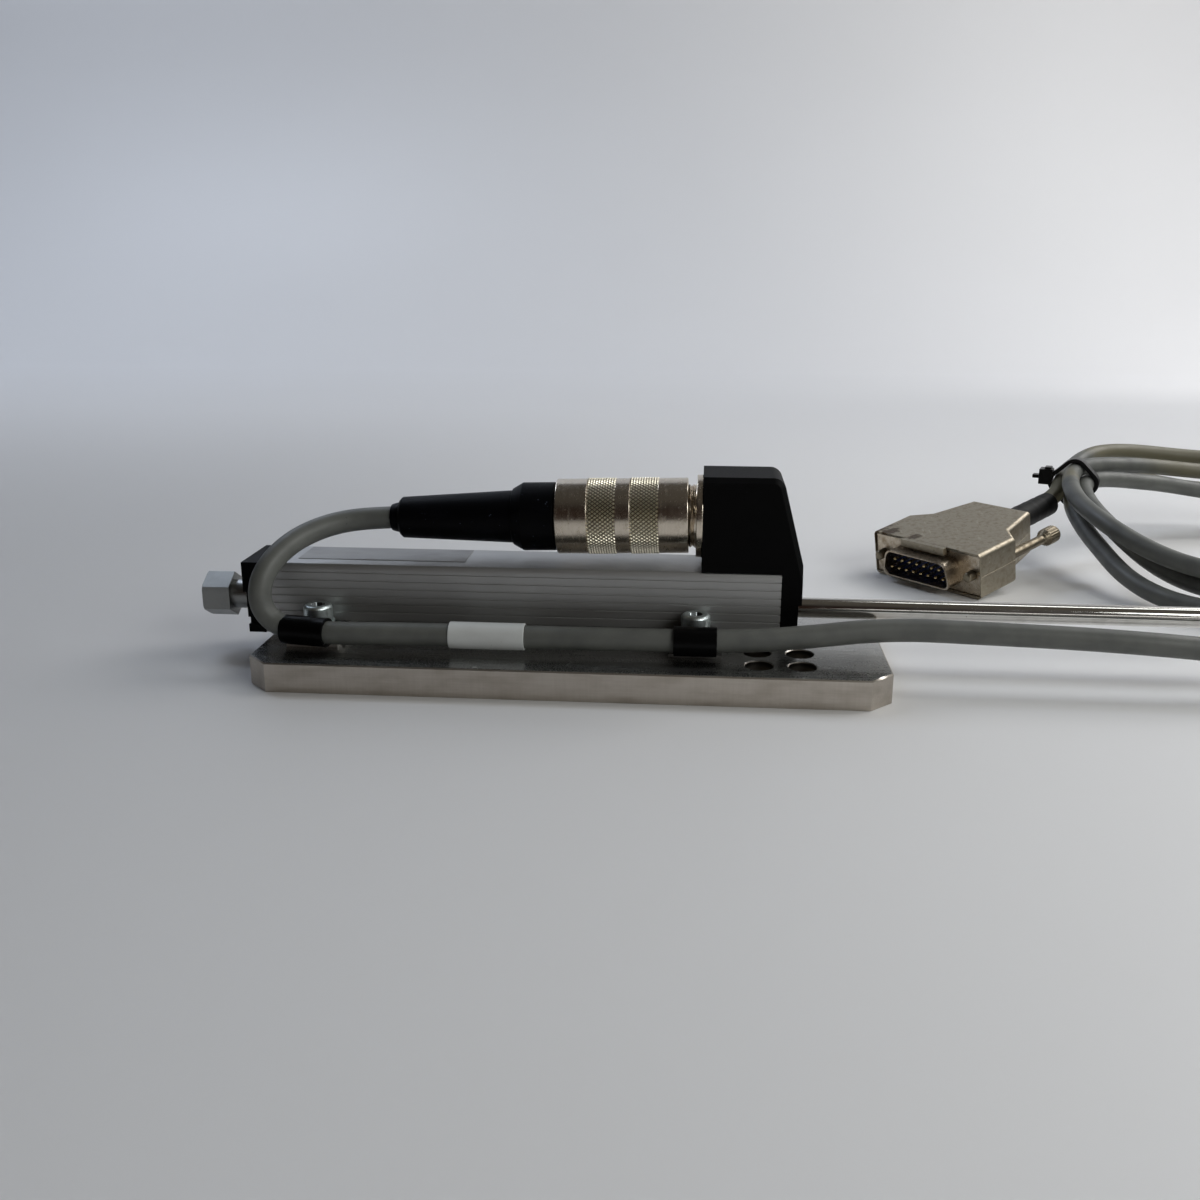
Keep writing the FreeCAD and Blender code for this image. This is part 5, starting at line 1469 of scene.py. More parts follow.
@dataclass
class Rod:
    """The polished rod with its ball tip, rear stop and carrier."""

    radius: float = 2.5
    rear: float = -93.1
    front: float = 158.4
    chamfer: float = 0.3
    groove: float = 0.3
    grooves: tuple[Pair, Pair] = ((25.2, 26.0), (38.0, 38.8))
    ball: float = 3.2
    ball_steps: int = 24
    tip: float = 163.9
    stud: float = 1.5
    stud_length: float = 8.0
    stop_edge: float = 0.15

    def build(self) -> None:
        """Make the rod's pieces."""
        low = self.radius - self.groove
        outline = [(self.rear, 0.0), (self.rear, self.radius)]
        for start, end in self.grooves:
            outline += [(start, self.radius), (start, low), (end, low), (end, self.radius)]
        outline += [(self.front - self.chamfer, self.radius), (self.front, self.radius - self.chamfer)]
        outline.append((self.front, 0.0))
        turned_piece("push_rod", Body.ROD, Finishes.ROD, outline, ROD_SEAT, 96)
        middle = self.tip - self.ball
        first = math.acos((self.front - middle) / self.ball)
        outline = [(self.front - self.stud_length, 0.0), (self.front - self.stud_length, self.stud)]
        outline.append((self.front, self.stud))
        for step in range(self.ball_steps + 1):
            angle = first * (1 - step / self.ball_steps)
            outline.append((middle + self.ball * math.cos(angle), self.ball * math.sin(angle)))
        turned_piece("ball_tip", Body.ROD, Finishes.ROD, outline, ROD_SEAT, 64)
        softened("rear_stop", Body.ROD, Finishes.STOP, EdgeRule(self.stop_edge, angle=20.0))
        repaint("stop_buffer", Finishes.SEAL)
        repaint("retaining_rings", Finishes.SPRING)
        repaint("wiper_carrier", Finishes.CARRIER)
        repaint("wiper_contacts", Finishes.CONTACT)


@dataclass
class Clamping:
    """The bent clamps, their screws and washers, and the two cable clips."""

    screw_x: Pair = CLAMP_SCREW_X
    screw_y: float = CLAMP_SCREW_Y
    clamp_top: float = 10.2
    clamp_edge: float = 0.18
    tab: float = 1.5
    washer_inner: float = 2.15
    washer: float = 3.9
    washer_thick: float = 0.5
    washer_round: float = 0.14
    head: float = 3.5
    head_tall: float = 4.0
    head_chamfer: float = 0.6
    head_round: float = 0.5
    shank: float = 2.0
    shank_chamfer: float = 0.4
    screw_end: float = 0.5
    socket_flats: float = 3.0
    socket_deep: float = 2.2
    socket_chamfer: float = 0.12
    socket_point: float = 0.5
    ridges: int = 48
    ridge_deep: float = 0.004
    ridge_start: float = 0.5
    ridge_step: float = 0.4
    ridge_rings: int = 8
    clip_wide: float = 10.0
    clip_strap: float = 0.75
    clip_reach: float = 7.6
    clip_back: float = 2.4
    clip_loop_up: float = 1.55
    clip_loop: float = 2.78
    clip_steps: int = 40
    clip_bend: float = 2.6
    clip_lift: float = 0.55
    clip_end: float = 3.2
    clip_gap: float = 0.01
    clip_edge: float = 0.16
    rear_clip_turn: float = -10.0
    rear_clip_more: float = 1.2

    def seats(self) -> list[Triple]:
        """Find where the screws stand.

        Returns:
            Each screw's place and the height that its washer lies on.
        """
        places = []
        for spot in self.screw_x:
            for side in (-1, 1):
                places.append((spot, side * self.screw_y, self.clamp_top + (self.tab if side < 0 else 0.0)))
        return places

    def screw(self, length: float) -> bpy.types.Object:
        """Make one socket head screw about the origin, its axis up.

        Args:
            length: The shank's length.

        Returns:
            The screw.
        """
        head, tall, shank = self.head, self.head_tall, self.shank
        corner = self.socket_flats / math.sqrt(3)
        floor = tall - self.socket_deep
        outline = [(-length, 0.0), (-length, shank - self.shank_chamfer)]
        outline += [(-length + self.shank_chamfer, shank), (0.0, shank)]
        outline += [(0.0, head - 0.2), (0.06, head - 0.06), (0.2, head)]
        outline += [(self.ridge_start + self.ridge_step * step, head) for step in range(self.ridge_rings)]
        rim = [(tall - self.head_chamfer, head), (tall, head - self.head_chamfer)]
        outline += rounded([*rim, (tall, corner + self.socket_chamfer)], self.head_round)
        outline += [(tall - self.socket_chamfer, corner), (floor, corner), (floor - self.socket_point, 0.0)]

        def drive(along: float, across: float, up: float) -> Triple:
            """Cut the hexagon socket and the fine ridges of the head's side.

            Args:
                along: A point's place along the screw.
                across: Its place across.
                up: Its height.

            Returns:
                The point's new place.
            """
            radius, angle = math.hypot(across, up), math.atan2(up, across)
            if along > floor - 0.1 and radius < corner + 0.05:
                part = (angle + math.pi / 6) % (math.pi / 3) - math.pi / 6
                scale = math.cos(math.pi / 6) / math.cos(part)
                return (along, across * scale, up * scale)
            if self.ridge_start < along < tall - self.ridge_start and radius > head - 0.05:
                scale = 1.0 - self.ridge_deep * (1 + math.cos(angle * self.ridges))
                return (along, across * scale, up * scale)
            return (along, across, up)

        return lathe("clamp_screw_source", outline, Seat(turn=ALONG_Z), Finishes.ZINC, 144, shape=drive)

    def clip(self, label: str, spot: float, degrees: float, more: float) -> None:
        """Make one strap clip: a strap that leaves the tab, goes round the cable and comes back.

        Args:
            label: The clip's node.
            spot: Its screw's place along the rod.
            degrees: Its turn about the screw.
            more: How much wider it is towards the front.
        """
        half = self.clip_strap / 2
        ring = self.clip_loop + half
        middle = (-self.clip_reach, self.clip_loop_up)
        top, low = self.clip_strap * 1.5, half
        line = [(self.clip_back, top), (-self.clip_bend, top)]
        start = math.asin((top + self.clip_lift - middle[1]) / ring)
        stop = 2 * math.pi - math.asin((middle[1] - low) / ring)
        for step in range(self.clip_steps + 1):
            angle = start + (stop - start) * step / self.clip_steps
            line.append((middle[0] + ring * math.cos(angle), middle[1] + ring * math.sin(angle)))
        line += [(-self.clip_end, low), (self.clip_back, low)]
        points = [Vector(point) for point in line]
        left, right = [], []
        for index, point in enumerate(points):
            ahead = points[min(index + 1, len(points) - 1)] - points[max(index - 1, 0)]
            side = Vector((-ahead.y, ahead.x)).normalized() * (half - self.clip_gap)
            left.append(tuple(point + side))
            right.append(tuple(point - side))
        outline = left + right[::-1]
        seat = Seat((spot, -self.screw_y, self.clamp_top), turn_about("Z", degrees))
        wide = self.clip_wide / 2
        name = label + "_piece"
        piece = extruded(name, outline, -wide, wide + more, seat, Finishes.CLIP, self.clip_edge)
        settle(piece, Body.SENSOR, Finishes.CLIP, label)

    def build(self, copies: CopyTree) -> None:
        """Make the clamping pieces.

        Args:
            copies: The tree that repeats screws and washers.
        """
        for node in ("clamp_front_left", "clamp_front_right", "clamp_back_left", "clamp_back_right"):
            # The front right clamp takes the darker copy of the clamp sheet, which is painted shade.
            finish = Finishes.CLAMP_PAINTED_SHADE if node == "clamp_front_right" else Finishes.CLAMP
            softened(node, Body.SENSOR, finish, EdgeRule(self.clamp_edge))
        up = Vector((0.0, 0.0, 1.0))
        places = self.seats()
        thick = self.washer_thick
        ring = [(0.0, self.washer_inner), (0.0, self.washer)]
        ring += [(thick, self.washer), (thick, self.washer_inner)]
        ring = rounded(ring, self.washer_round, loop=True)
        source = lathe("washer_source", ring, Seat(turn=ALONG_Z), Finishes.ZINC, 64, loop=True)
        points = [Vector(place) * MM for place in places]
        copies.lay("clamp_washers", source, points, up, Finishes.ZINC)
        length = self.clamp_top + thick - self.screw_end
        points = [(Vector(place) + up * thick) * MM for place in places]
        copies.lay("clamp_screws", self.screw(length), points, up, Finishes.ZINC)
        self.clip("cable_clip_left", self.screw_x[0], self.rear_clip_turn, self.rear_clip_more)
        self.clip("cable_clip_right", self.screw_x[1], 0.0, 0.0)


@dataclass
class Plug:
    """The threaded socket on the head and the round plug with its coupling ring."""

    thread: float = 7.75
    thread_pitch: float = 1.0
    thread_deep: float = 0.5
    thread_steps: int = 6
    thread_relief: float = 0.4
    thread_chamfer: float = 0.3
    socket_reach: float = 12.6
    socket_bore: float = 6.6
    socket_body: float = 7.0
    socket_depth: float = 12.0
    flange: float = 10.0
    flange_thick: float = 1.5
    flange_round: float = 0.2
    ring: float = 9.15
    ring_round: float = 0.28
    ring_front: float = 3.77
    ring_rear: float = -28.13
    ring_thread: float = 8.1
    ring_tube: float = 7.15
    ring_lip: float = -9.3
    knurl_length: float = 6.85
    knurl_starts: Pair = (-20.54, -10.2)
    knurl_around: int = 58
    knurl_columns: int = 11
    knurl_height: float = 0.40
    knurl_sunk: float = 0.26
    sleeve: float = 8.35
    sleeve_front: float = -28.43
    sleeve_rear: float = -39.13
    sleeve_shoulder: float = 2.57
    sleeve_flats: float = 7.8
    sleeve_round: float = 0.45
    flat_reach: float = 1.2
    fit: float = 0.02
    tube: float = 6.9
    tube_rear: float = -37.0
    boot: float = 6.45
    boot_end: float = 5.05
    boot_rear: float = -67.43
    boot_chamfer: float = 0.7
    boot_round: float = 0.4
    collar: float = 3.22
    collar_rear: float = -69.63
    cable_bore: float = 2.77

    def socket(self) -> None:
        """Make the socket with its cut thread."""
        steps = int(self.socket_reach / self.thread_pitch * self.thread_steps)
        tip = -self.socket_reach
        outline = [(tip, self.socket_bore), (tip, self.thread - self.thread_relief)]
        start, end = tip + self.thread_chamfer, -self.flange_thick - self.thread_relief
        for step in range(steps + 1):
            outline.append((start + (end - start) * step / steps, self.thread))
        rim = [(-self.flange_thick, self.thread), (-self.flange_thick, self.flange), (0.0, self.flange)]
        outline += rounded([outline[-1], *rim, (0.0, self.socket_body)], self.flange_round)[1:]
        outline += [(self.socket_depth, self.socket_body), (self.socket_depth, self.socket_bore)]

        def cut(along: float, across: float, up: float) -> Triple:
            """Cut the thread's groove along its helix.

            Args:
                along: A point's place along the socket.
                across: Its place across.
                up: Its height.

            Returns:
                The point's new place.
            """
            radius = math.hypot(across, up)
            if abs(radius - self.thread) > 0.01 or not tip < along < end + 0.01:
                return (along, across, up)
            part = (along / self.thread_pitch - math.atan2(up, across) / (2 * math.pi)) % 1.0
            scale = 1.0 - self.thread_deep * abs(2 * part - 1) / radius
            return (along, across * scale, up * scale)

        form = {"loop": True, "shape": cut}
        turned_piece("socket_shell", Body.SENSOR, Finishes.NICKEL, outline, SOCKET_SEAT, 96, **form)
        repaint("socket_insert", Finishes.INSERT)
        repaint("socket_pins", Finishes.CONTACT)

    def coupling(self, knurl: KnurlTree) -> None:
        """Make the coupling ring and its two knurled bands.

        Args:
            knurl: The tree that grows a band.
        """
        sunk = self.ring - self.knurl_sunk
        outer = [(self.ring_rear, self.ring_tube), (self.ring_rear, self.ring)]
        for start in self.knurl_starts:
            end = start + self.knurl_length
            outer += [(start, self.ring), (start, sunk), (end, sunk), (end, self.ring)]
        outer += [(self.ring_front, self.ring), (self.ring_front, self.ring_thread)]
        outer += [(self.ring_lip, self.ring_thread), (self.ring_lip, self.ring_tube)]
        outer = rounded(outer, self.ring_round, loop=True)
        turned_piece("coupling_ring", Body.RING, Finishes.NICKEL, outer, PLUG_SEAT, 128, loop=True)
        turn = Matrix.Translation(PLUG_SEAT.at(0.0)) @ PLUG_SEAT.turn.to_4x4() @ Matrix.Scale(MM, 4)
        for index, start in enumerate(self.knurl_starts):
            band = knurl.grow(
                f"knurl_band_{index + 1}",
                [],
                Finishes.KNURL,
                Radius=sunk - self.fit,
                Start=start,
                Length=self.knurl_length,
                Around=self.knurl_around,
                Columns=self.knurl_columns,
                Height=self.knurl_height,
            )
            band.data.transform(turn)
            settle(band, Body.RING, Finishes.KNURL)

    def rear(self) -> None:
        """Make the rear sleeve and the cable boot."""
        slope = self.sleeve_rear + self.sleeve_shoulder
        corners = [
            (self.sleeve_rear, self.boot + self.fit),
            (self.sleeve_rear, self.tube),
            (slope, self.sleeve),
            (self.sleeve_front, self.sleeve),
            (self.sleeve_front, self.tube + self.fit),
            (self.tube_rear, self.tube + self.fit),
            (self.tube_rear, self.boot + self.fit),
        ]
        outline = rounded(corners, self.sleeve_round, loop=True)

        def flats(along: float, across: float, up: float) -> Triple:
            """Cut two spanner flats into the shoulder.

            Args:
                along: A point's place along the plug.
                across: Its place across.
                up: Its height.

            Returns:
                The point's new place.
            """
            if along < slope + self.flat_reach and abs(across) > self.sleeve_flats:
                across = math.copysign(self.sleeve_flats, across)
            return (along, across, up)

        form = {"loop": True, "shape": flats}
        turned_piece("rear_sleeve", Body.SENSOR, Finishes.BOOT, outline, PLUG_SEAT, 128, **form)
        corners = [
            (self.collar_rear, self.cable_bore),
            (self.collar_rear, self.collar),
            (self.boot_rear - 1.1, self.collar + 0.35),
            (self.boot_rear, self.collar + 0.55),
            (self.boot_rear, self.boot_end - self.boot_chamfer),
            (self.boot_rear + self.boot_chamfer, self.boot_end),
            (self.sleeve_rear, self.boot),
            (self.tube_rear, self.boot),
            (self.tube_rear, self.cable_bore),
        ]
        outline = rounded(corners, self.boot_round, loop=True)
        turned_piece("cable_boot", Body.SENSOR, Finishes.BOOT, outline, PLUG_SEAT, 96, loop=True)

    def build(self, knurl: KnurlTree) -> None:
        """Make the socket and the plug.

        Args:
            knurl: The tree that grows a knurled band.
        """
        self.socket()
        self.coupling(knurl)
        self.rear()
        repaint("plug_body", Finishes.NICKEL)
        repaint("plug_insert", Finishes.INSERT)


@dataclass(frozen=True)
class Turn:
    """One turn of the coil: its place in the tie, and the radius and height where it passes other places."""

    knot: tuple[int, int]
    side: Pair
    back: Pair
    rise: Pair
    fall: Pair | None = None
    front: Pair | None = None


@dataclass
class Cable:
    """The cable from the plug to the tied coil and on to the end connector, with what sits on it."""

    diameter: float = 5.5
    coil_middle: Pair = (219.0, 103.0)
    tie_angle: float = 157.5
    tie_wide: float = 4.6
    tie_thick: float = 1.35
    tie_spread: float = 3.95
    tie_out: float = 66.0
    tie_up: float = 23.5
    tie_gap: float = 0.15
    tie_steps: int = 8
    tie_edge: float = 0.22
    tie_blocks: tuple[tuple[Triple, Triple], ...] = (
        ((-2.6, 0.1, -1.2), (2.6, 4.4, 4.0)),
        ((-1.6, 4.0, 0.6), (1.6, 6.6, 1.8)),
        ((-1.9, 0.6, 3.6), (1.9, 2.8, 4.7)),
    )
    fit: float = 0.02
    tag_start: float = -27.8
    tag_length: float = 17.9
    tag_wall: float = 0.42
    tag_round: float = 0.16
    cable_side: float = -20.6
    cable_up: float = 11.75
    shrink_start: float = 37.0
    shrink_length: float = 25.0
    shrink_wall: float = 0.85
    shrink_more: float = 0.4
    shrink_round: float = 0.3
    shrink_end: float = 0.3
    shrink_steps: int = 16
    shrink_ripple: float = 0.05
    shrink_wave: float = 2.3
    route: tuple[Triple, ...] = (
        (-41.7, 0.0, 35.39),
        (-52.5, 0.0, 35.1),
        (-62.5, -4.0, 33.6),
        (-69.4, -12.2, 30.4),
        (-73.6, -18.4, 24.4),
        (-74.0, -19.6, 17.0),
        (-68.9, -19.48, 11.75),
        (-54.0, -22.11, 11.75),
        (-40.0, -20.6, 11.75),
        (37.0, -20.6, 11.75),
        (54.0, -18.4, 12.6),
        (75.0, -15.6, 14.6),
        (98.0, -14.9, 13.8),
        (122.0, -15.6, 13.3),
        (146.0, -16.2, 12.0),
        (174.0, -14.2, 8.8),
        (206.0, -5.0, 5.2),
        (236.0, 15.0, 3.4),
        (260.0, 43.0, 3.6),
        (272.0, 66.0, 5.6),
        (277.0, 82.0, 8.0),
    )
    lead: tuple[Triple, ...] = ((148.64, 116.63, 19.14), (124.89, 95.99, 13.31))
    coil_step: float = 7.5
    passes: tuple[float, ...] = (0.0, 90.0, 125.0, tie_angle, 192.0, 230.0)
    # These places were fitted by a search to the strands that the photograph shows.
    turns: tuple[Turn, ...] = (
        Turn((-1, 0), (61.0, 8.5), (51.0, 15.5), (53.0, 20.5), (62.0, 17.0), (67.5, 7.5)),
        Turn((0, -1), (67.0, 12.5), (65.5, 14.0), (64.0, 20.5), (65.0, 10.5), (77.0, 4.0)),
        Turn((0, 1), (72.0, 16.5), (60.0, 21.5), (60.5, 25.5), (69.0, 21.5), (69.0, 13.0)),
        Turn((1, 0), (72.0, 22.5), (71.0, 25.0), (73.0, 28.5)),
    )

    def winding(self) -> list[Triple]:
        """Work out the coil's points, turn after turn, as far as the tie.

        Returns:
            A point every few degrees, on a smooth way through the places that the turns pass.
        """
        places = []
        for lap, turn in enumerate(self.turns):
            knot = Vector((self.tie_out, self.tie_up)) + Vector(turn.knot) * self.tie_spread
            spots = (turn.side, turn.back, turn.rise, knot, turn.fall, turn.front)
            for angle, spot in zip(self.passes, spots):
                if spot is not None:
                    places.append((360.0 * lap + angle, Vector(spot)))
        slopes = [(far - near) / (end - start) for (start, near), (end, far) in zip(places, places[2:])]
        slopes = [Vector((0.0, 0.0)), *slopes, Vector((0.0, 0.0))]
        points = []
        leg = 0
        for step in range(round(places[-1][0] / self.coil_step) + 1):
            angle = step * self.coil_step
            while leg < len(places) - 2 and angle >= places[leg + 1][0]:
                leg += 1
            (start, near), (end, far) = places[leg], places[leg + 1]
            part = (angle - start) / (end - start)
            rest = 1.0 - part
            radius, up = near * (1.0 + 2.0 * part) * rest**2 + far * (3.0 - 2.0 * part) * part**2
            lean, climb = (slopes[leg] * rest - slopes[leg + 1] * part) * (part * rest * (end - start))
            turned = math.radians(angle)
            across = self.coil_middle[0] + (radius + lean) * math.cos(turned)
            along = self.coil_middle[1] + (radius + lean) * math.sin(turned)
            points.append((across, along, up + climb))
        return points

    def line(self) -> list[Triple]:
        """Give all the points that the cable follows."""
        return [*self.route, *self.winding(), *self.lead]

    def cord(self) -> tuple[bpy.types.Object, float]:
        """Lay the cable as one smooth curve.

        Returns:
            The cable and its length in metres.
        """
        data = bpy.data.curves.new("sensor_cable_piece", "CURVE")
        data.dimensions = "3D"
        data.resolution_u = 10
        spline = data.splines.new("NURBS")
        points = self.line()
        spline.points.add(len(points) - 1)
        for point, place in zip(spline.points, points):
            point.co = (*(Vector(place) * MM), 1.0)
        spline.order_u = 3
        spline.use_endpoint_u = True
        spline.use_smooth = True
        data.materials.append(Finishes.JACKET.material())
        piece = linked("sensor_cable_piece", data)
        length = self.measured(piece)
        data.bevel_depth = self.diameter / 2 * MM
        data.bevel_resolution = 7
        data.use_fill_caps = True
        return piece, length

    @staticmethod
    def measured(piece: bpy.types.Object) -> float:
        """Measure a curve that has no thickness yet.

        Args:
            piece: The curve, already in the scene.

        Returns:
            Its length in metres.
        """
        wire = evaluated(piece)
        spots = [spot.co.copy() for spot in wire.vertices]
        total = sum((spots[here] - spots[ahead]).length for here, ahead in wire.edge_keys)
        bpy.data.meshes.remove(wire)
        return total

    def tie(self) -> bpy.types.Object:
        """Make the cable tie: a strap round the four strands, its lock and its cut end.

        Returns:
            The tie.
        """
        angle = math.radians(self.tie_angle)
        outward = Vector((math.cos(angle), math.sin(angle), 0.0))
        tangent = Vector((-math.sin(angle), math.cos(angle), 0.0))
        turn = Matrix((tangent, outward, Vector((0.0, 0.0, 1.0)))).transposed()
        radius = self.diameter / 2 + self.tie_gap
        inner, outer = [], []
        for quarter in range(4):
            facing = quarter * math.pi / 2
            strand = Vector((math.cos(facing), math.sin(facing))) * self.tie_spread
            for step in range(self.tie_steps + 1):
                spin = math.radians(90 * quarter - 45 + 90 * step / self.tie_steps)
                ray = Vector((math.cos(spin), math.sin(spin)))
                inner.append(tuple(strand + ray * radius))
                outer.append(tuple(strand + ray * (radius + self.tie_thick)))
        middle = Vector((*self.coil_middle, 0.0)) + outward * self.tie_out + Vector((0.0, 0.0, self.tie_up))
        seat = Seat(tuple(middle), turn)
        wide = self.tie_wide / 2
        made = bmesh.new()
        loops = []
        for along, ring in ((-wide, inner), (-wide, outer), (wide, outer), (wide, inner)):
            loops.append([made.verts.new(seat.at(along, *point)) for point in ring])
        for first, second in zip(loops, loops[1:] + loops[:1]):
            for index in range(len(first)):
                ahead = (index + 1) % len(first)
                made.faces.new([first[index], first[ahead], second[ahead], second[index]])
        lock = seat.shifted(0.0, self.tie_spread + radius)
        for low, high in self.tie_blocks:
            self.add_block(made, lock, low, high)
        bmesh.ops.recalc_face_normals(made, faces=made.faces)
        EdgeRule(self.tie_edge, angle=50.0).apply(made)
        return finished(made, "cable_tie_piece", Finishes.TIE)

    @staticmethod
    def add_block(made: bmesh.types.BMesh, seat: Seat, low: Triple, high: Triple) -> None:
        """Add a closed block to a shape.

        Args:
            made: The shape.
            seat: The seat that the corners are given in.
            low: The lowest corner.
            high: The highest corner.
        """
        ends = list(zip(low, high))
        corners = [made.verts.new(seat.at(x, y, z)) for x in ends[0] for y in ends[1] for z in ends[2]]
        for face in ((0, 1, 3, 2), (4, 6, 7, 5), (0, 4, 5, 1), (2, 3, 7, 6), (0, 2, 6, 4), (1, 5, 7, 3)):
            made.faces.new([corners[index] for index in face])

    def build(self) -> None:
        """Make the cable and the pieces on it."""
        bore = self.diameter / 2 + self.fit
        wall = bore + self.tag_wall
        ring = [(0.0, bore), (0.0, wall), (self.tag_length, wall), (self.tag_length, bore)]
        ring = rounded(ring, self.tag_round, loop=True)
        seat = Seat((self.tag_start, self.cable_side, self.cable_up))
        tag = turned_piece("cable_tag", Body.SENSOR, Finishes.TAG, ring, seat, 64, loop=True)
        wall = bore + self.shrink_wall
        start, end = self.shrink_start, self.shrink_start + self.shrink_length
        ring = [(start, bore), (start, wall)]
        for step in range(1, self.shrink_steps + 1):
            part = step / self.shrink_steps
            ripple = self.shrink_ripple * math.sin(self.shrink_wave * step)
            along = start + self.shrink_end + (self.shrink_length - 2 * self.shrink_end) * part
            ring.append((along, wall + self.shrink_more * (1.0 - 0.5 * part) + ripple))
        ring = rounded([*ring, (end, wall), (end, bore)], self.shrink_round, loop=True)
        sleeve = turned_piece(
            "shrink_sleeve", Body.SENSOR, Finishes.SHRINK, ring, CONNECTOR_AXIS, 64, loop=True
        )
        tie = settle(self.tie(), Body.SENSOR, Finishes.TIE, "cable_tie")
        cord, length = self.cord()
        settle(cord, Body.SENSOR, Finishes.JACKET, "sensor_cable", "cable_coil", "plug_lead")
        LOG.info("cable %.3f m", length)


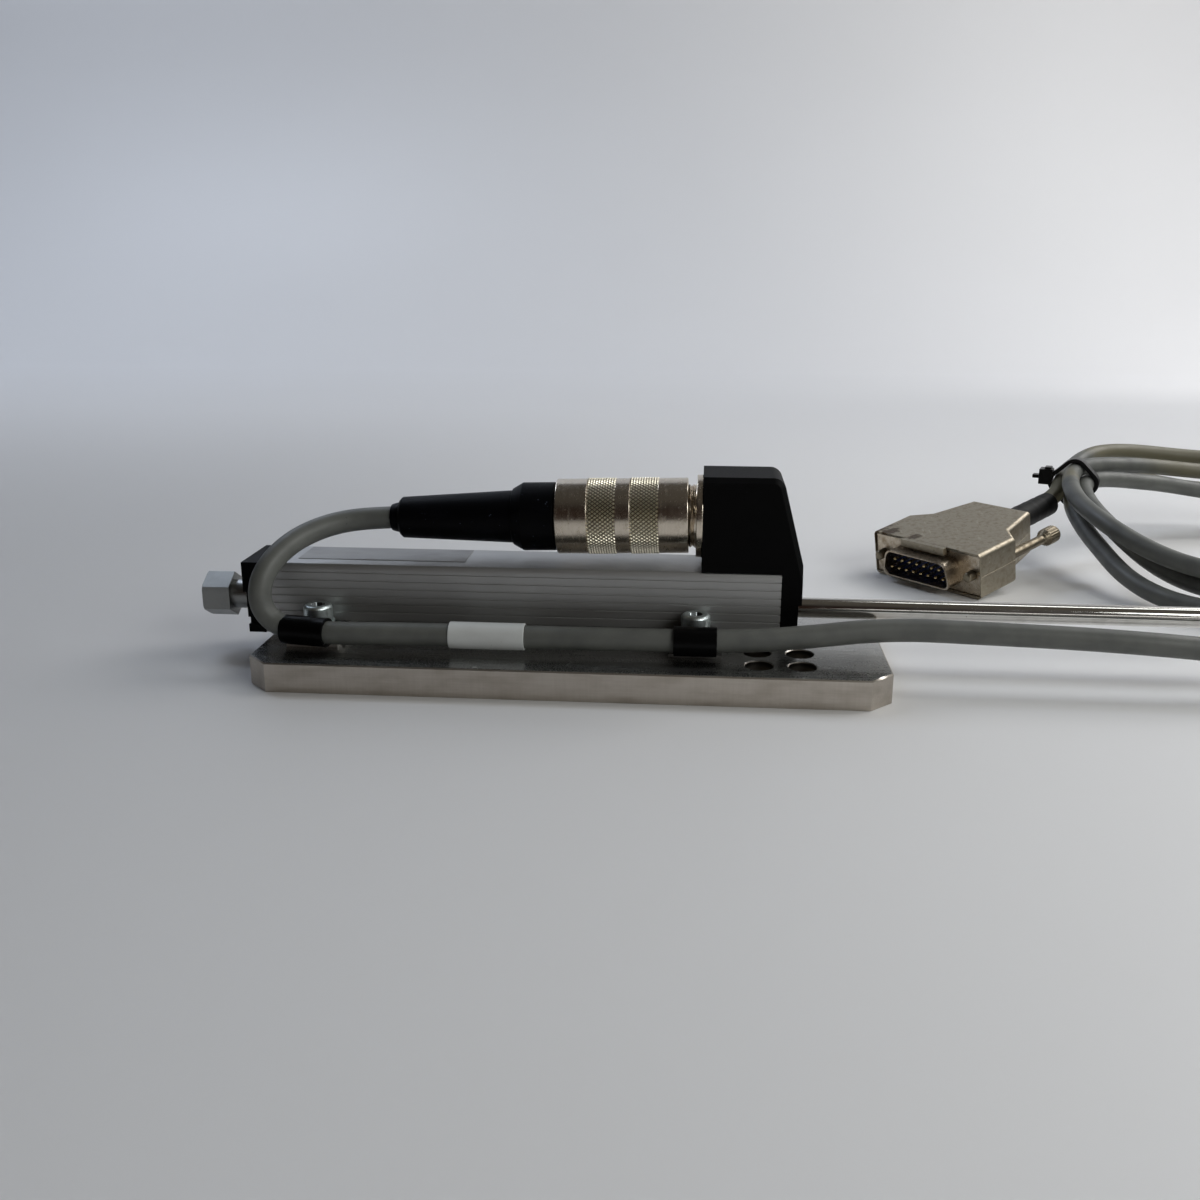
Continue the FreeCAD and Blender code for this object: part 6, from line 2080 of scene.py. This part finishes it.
@dataclass
class EndConnector:
    """The loose connector: shell, insulator, contacts, hood and locking screws."""

    pin: float = 0.5
    pin_front: float = 5.2
    pin_back: float = 8.0
    pin_pitch: float = 2.77
    pin_row: float = 1.42
    pin_dome: tuple[Pair, ...] = ((0.0, 0.0), (0.08, 0.22), (0.3, 0.42))
    pin_taper: float = 0.6
    hood_edge: float = 0.22
    shell_edge: float = 0.14
    shell_round: float = 2.2
    shell_reach: float = 14.0
    shell_inside: float = 10.4
    shell_up: float = 3.0
    insulator_edge: float = 0.06
    screw_out: float = 7.2
    screw_back: float = 25.0
    screw_down: float = -7.25
    screw_head: float = 2.3
    screw_sunk: float = 1.8
    screw_shank: float = 1.25
    screw_length: float = 11.75
    screw_face: float = 0.1
    screw_rim: float = 0.35
    screw_round: float = 0.3
    lock_out: float = 16.66
    lock_tip: float = -3.0
    lock_shaft: float = 1.5
    lock_head: float = 2.75
    lock_ridges: int = 22
    lock_start: float = 34.0
    lock_end: float = 40.5
    lock_slot: float = 0.4
    lock_slot_deep: float = 1.2
    lock_ridge_deep: float = 0.025
    lock_round: float = 0.3
    lock_rings: tuple[float, ...] = (0.5, 0.35, 0.22, 0.13, 0.0)

    def at_shell_corner(self, middle: Vector, direction: Vector) -> bool:
        """Tell whether an edge is one of the long corners of the D-shaped collar.

        Args:
            middle: The edge's middle.
            direction: Its direction.

        Returns:
            Whether it runs along the plug's axis inside the flange's screws and outside its contacts.
        """
        spot = CONNECTOR_SEAT.turn.transposed() @ (middle - Vector(CONNECTOR_SEAT.origin))
        lengthwise = abs(direction.dot(CONNECTOR_SEAT.turn.col[1])) > 0.99
        between = self.shell_inside < abs(spot.x) < self.shell_reach
        return lengthwise and between and abs(spot.z) > self.shell_up

    def contacts(self, copies: CopyTree) -> None:
        """Make the contact pins with domed ends.

        Args:
            copies: The tree that repeats the pins.
        """
        outline = [(along - self.pin_front, radius) for along, radius in self.pin_dome]
        outline += [(self.pin_taper - self.pin_front, self.pin)]
        outline += [(self.pin_back, self.pin), (self.pin_back, 0.0)]
        turn = CONNECTOR_AXIS.turn
        source = lathe("pin_source", outline, Seat(turn=turn), Finishes.CONTACT, 16)
        points = []
        for up, count in ((-self.pin_row, 8), (self.pin_row, 7)):
            for index in range(count):
                points.append(CONNECTOR_SEAT.at(self.pin_pitch * (index - (count - 1) / 2), 0.0, up))
        copies.lay("connector_pins", source, points, turn.col[0], Finishes.CONTACT)

    def hood_screws(self, copies: CopyTree) -> None:
        """Make the hood's two screws.

        Args:
            copies: The tree that repeats them.
        """
        head, shank = self.screw_head, self.screw_shank
        outline = [(self.screw_face, 0.0), (self.screw_face, head - self.screw_round), (self.screw_rim, head)]
        outline += [(self.screw_sunk, head), (self.screw_sunk, shank)]
        outline += [(self.screw_length, shank), (self.screw_length, 0.0)]
        turn = CONNECTOR_SEAT.turn @ turn_about("Y", -90.0)
        source = lathe("hood_screw_source", outline, Seat(turn=turn), Finishes.LOCK, 40)
        sides = (-self.screw_out, self.screw_out)
        points = [CONNECTOR_SEAT.at(side, self.screw_back, self.screw_down) for side in sides]
        copies.lay("hood_screws", source, points, turn.col[0], Finishes.LOCK)

    def lock(self, label: str, body: Body, side: int) -> None:
        """Make one long locking screw with a slotted, ridged head.

        Args:
            label: The screw's node.
            body: The body that it turns with.
            side: -1 or 1 across the connector.
        """
        shaft, head, end = self.lock_shaft, self.lock_head, self.lock_end
        outline = [
            (self.lock_tip, 0.0),
            (self.lock_tip, shaft - 0.4),
            (self.lock_tip + 0.4, shaft),
            (self.lock_start - 0.6, shaft),
            (self.lock_start, shaft + 0.5),
            (self.lock_start + 0.3, head - 0.7),
            (self.lock_start + 1.4, head),
            (end - 0.9, head),
            (end - 0.25, head - 0.45),
            (end, head - 1.0),
        ]
        outline = rounded(outline, self.lock_round)
        outline += [(end, head * part) for part in self.lock_rings]

        def slot(along: float, across: float, up: float) -> Triple:
            """Sink the driving slot into the head and ridge its side.

            Args:
                along: A point's place along the screw.
                across: Its place across.
                up: Its height.

            Returns:
                The point's new place.
            """
            if along > end - 0.3 and abs(up) < self.lock_slot + 0.05:
                return (end - self.lock_slot_deep, across, up)
            if math.hypot(across, up) > head - 0.1:
                ridge = 1 + math.cos(math.atan2(up, across) * self.lock_ridges)
                scale = 1.0 - self.lock_ridge_deep * ridge
                return (along, across * scale, up * scale)
            return (along, across, up)

        seat = CONNECTOR_AXIS.shifted(0.0, -side * self.lock_out)
        turned_piece(label, body, Finishes.LOCK, outline, seat, 132, shape=slot)

    def build(self, copies: CopyTree) -> None:
        """Make the connector.

        Args:
            copies: The tree that repeats pins and screws.
        """
        for node in ("hood_upper", "hood_lower"):
            softened(node, Body.SENSOR, Finishes.HOOD, EdgeRule(self.hood_edge))
        corners = EdgeRule(self.shell_round, angle=40.0, segments=6, picks=self.at_shell_corner)
        shell_edges = EdgeRule(self.shell_edge)
        softened("connector_shell", Body.SENSOR, Finishes.SHELL, corners, shell_edges)
        insulator_edges = EdgeRule(self.insulator_edge, angle=50.0)
        softened("connector_insulator", Body.SENSOR, Finishes.INSERT, corners, insulator_edges)
        self.contacts(copies)
        self.hood_screws(copies)
        self.lock("thumbscrew_left", Body.LEFT_LOCK, -1)
        self.lock("thumbscrew_right", Body.RIGHT_LOCK, 1)


def main() -> None:
    """Build the studio and every sub-assembly in order."""
    logging.basicConfig(level=logging.INFO, format="%(message)s")
    Studio().build()
    copies = CopyTree()
    knurl = KnurlTree()
    Cable().build()
    BasePlate().build()
    Housing().build(copies)
    Rod().build()
    Clamping().build(copies)
    Plug().build(knurl)
    EndConnector().build(copies)


if __name__ == "__main__":
    main()
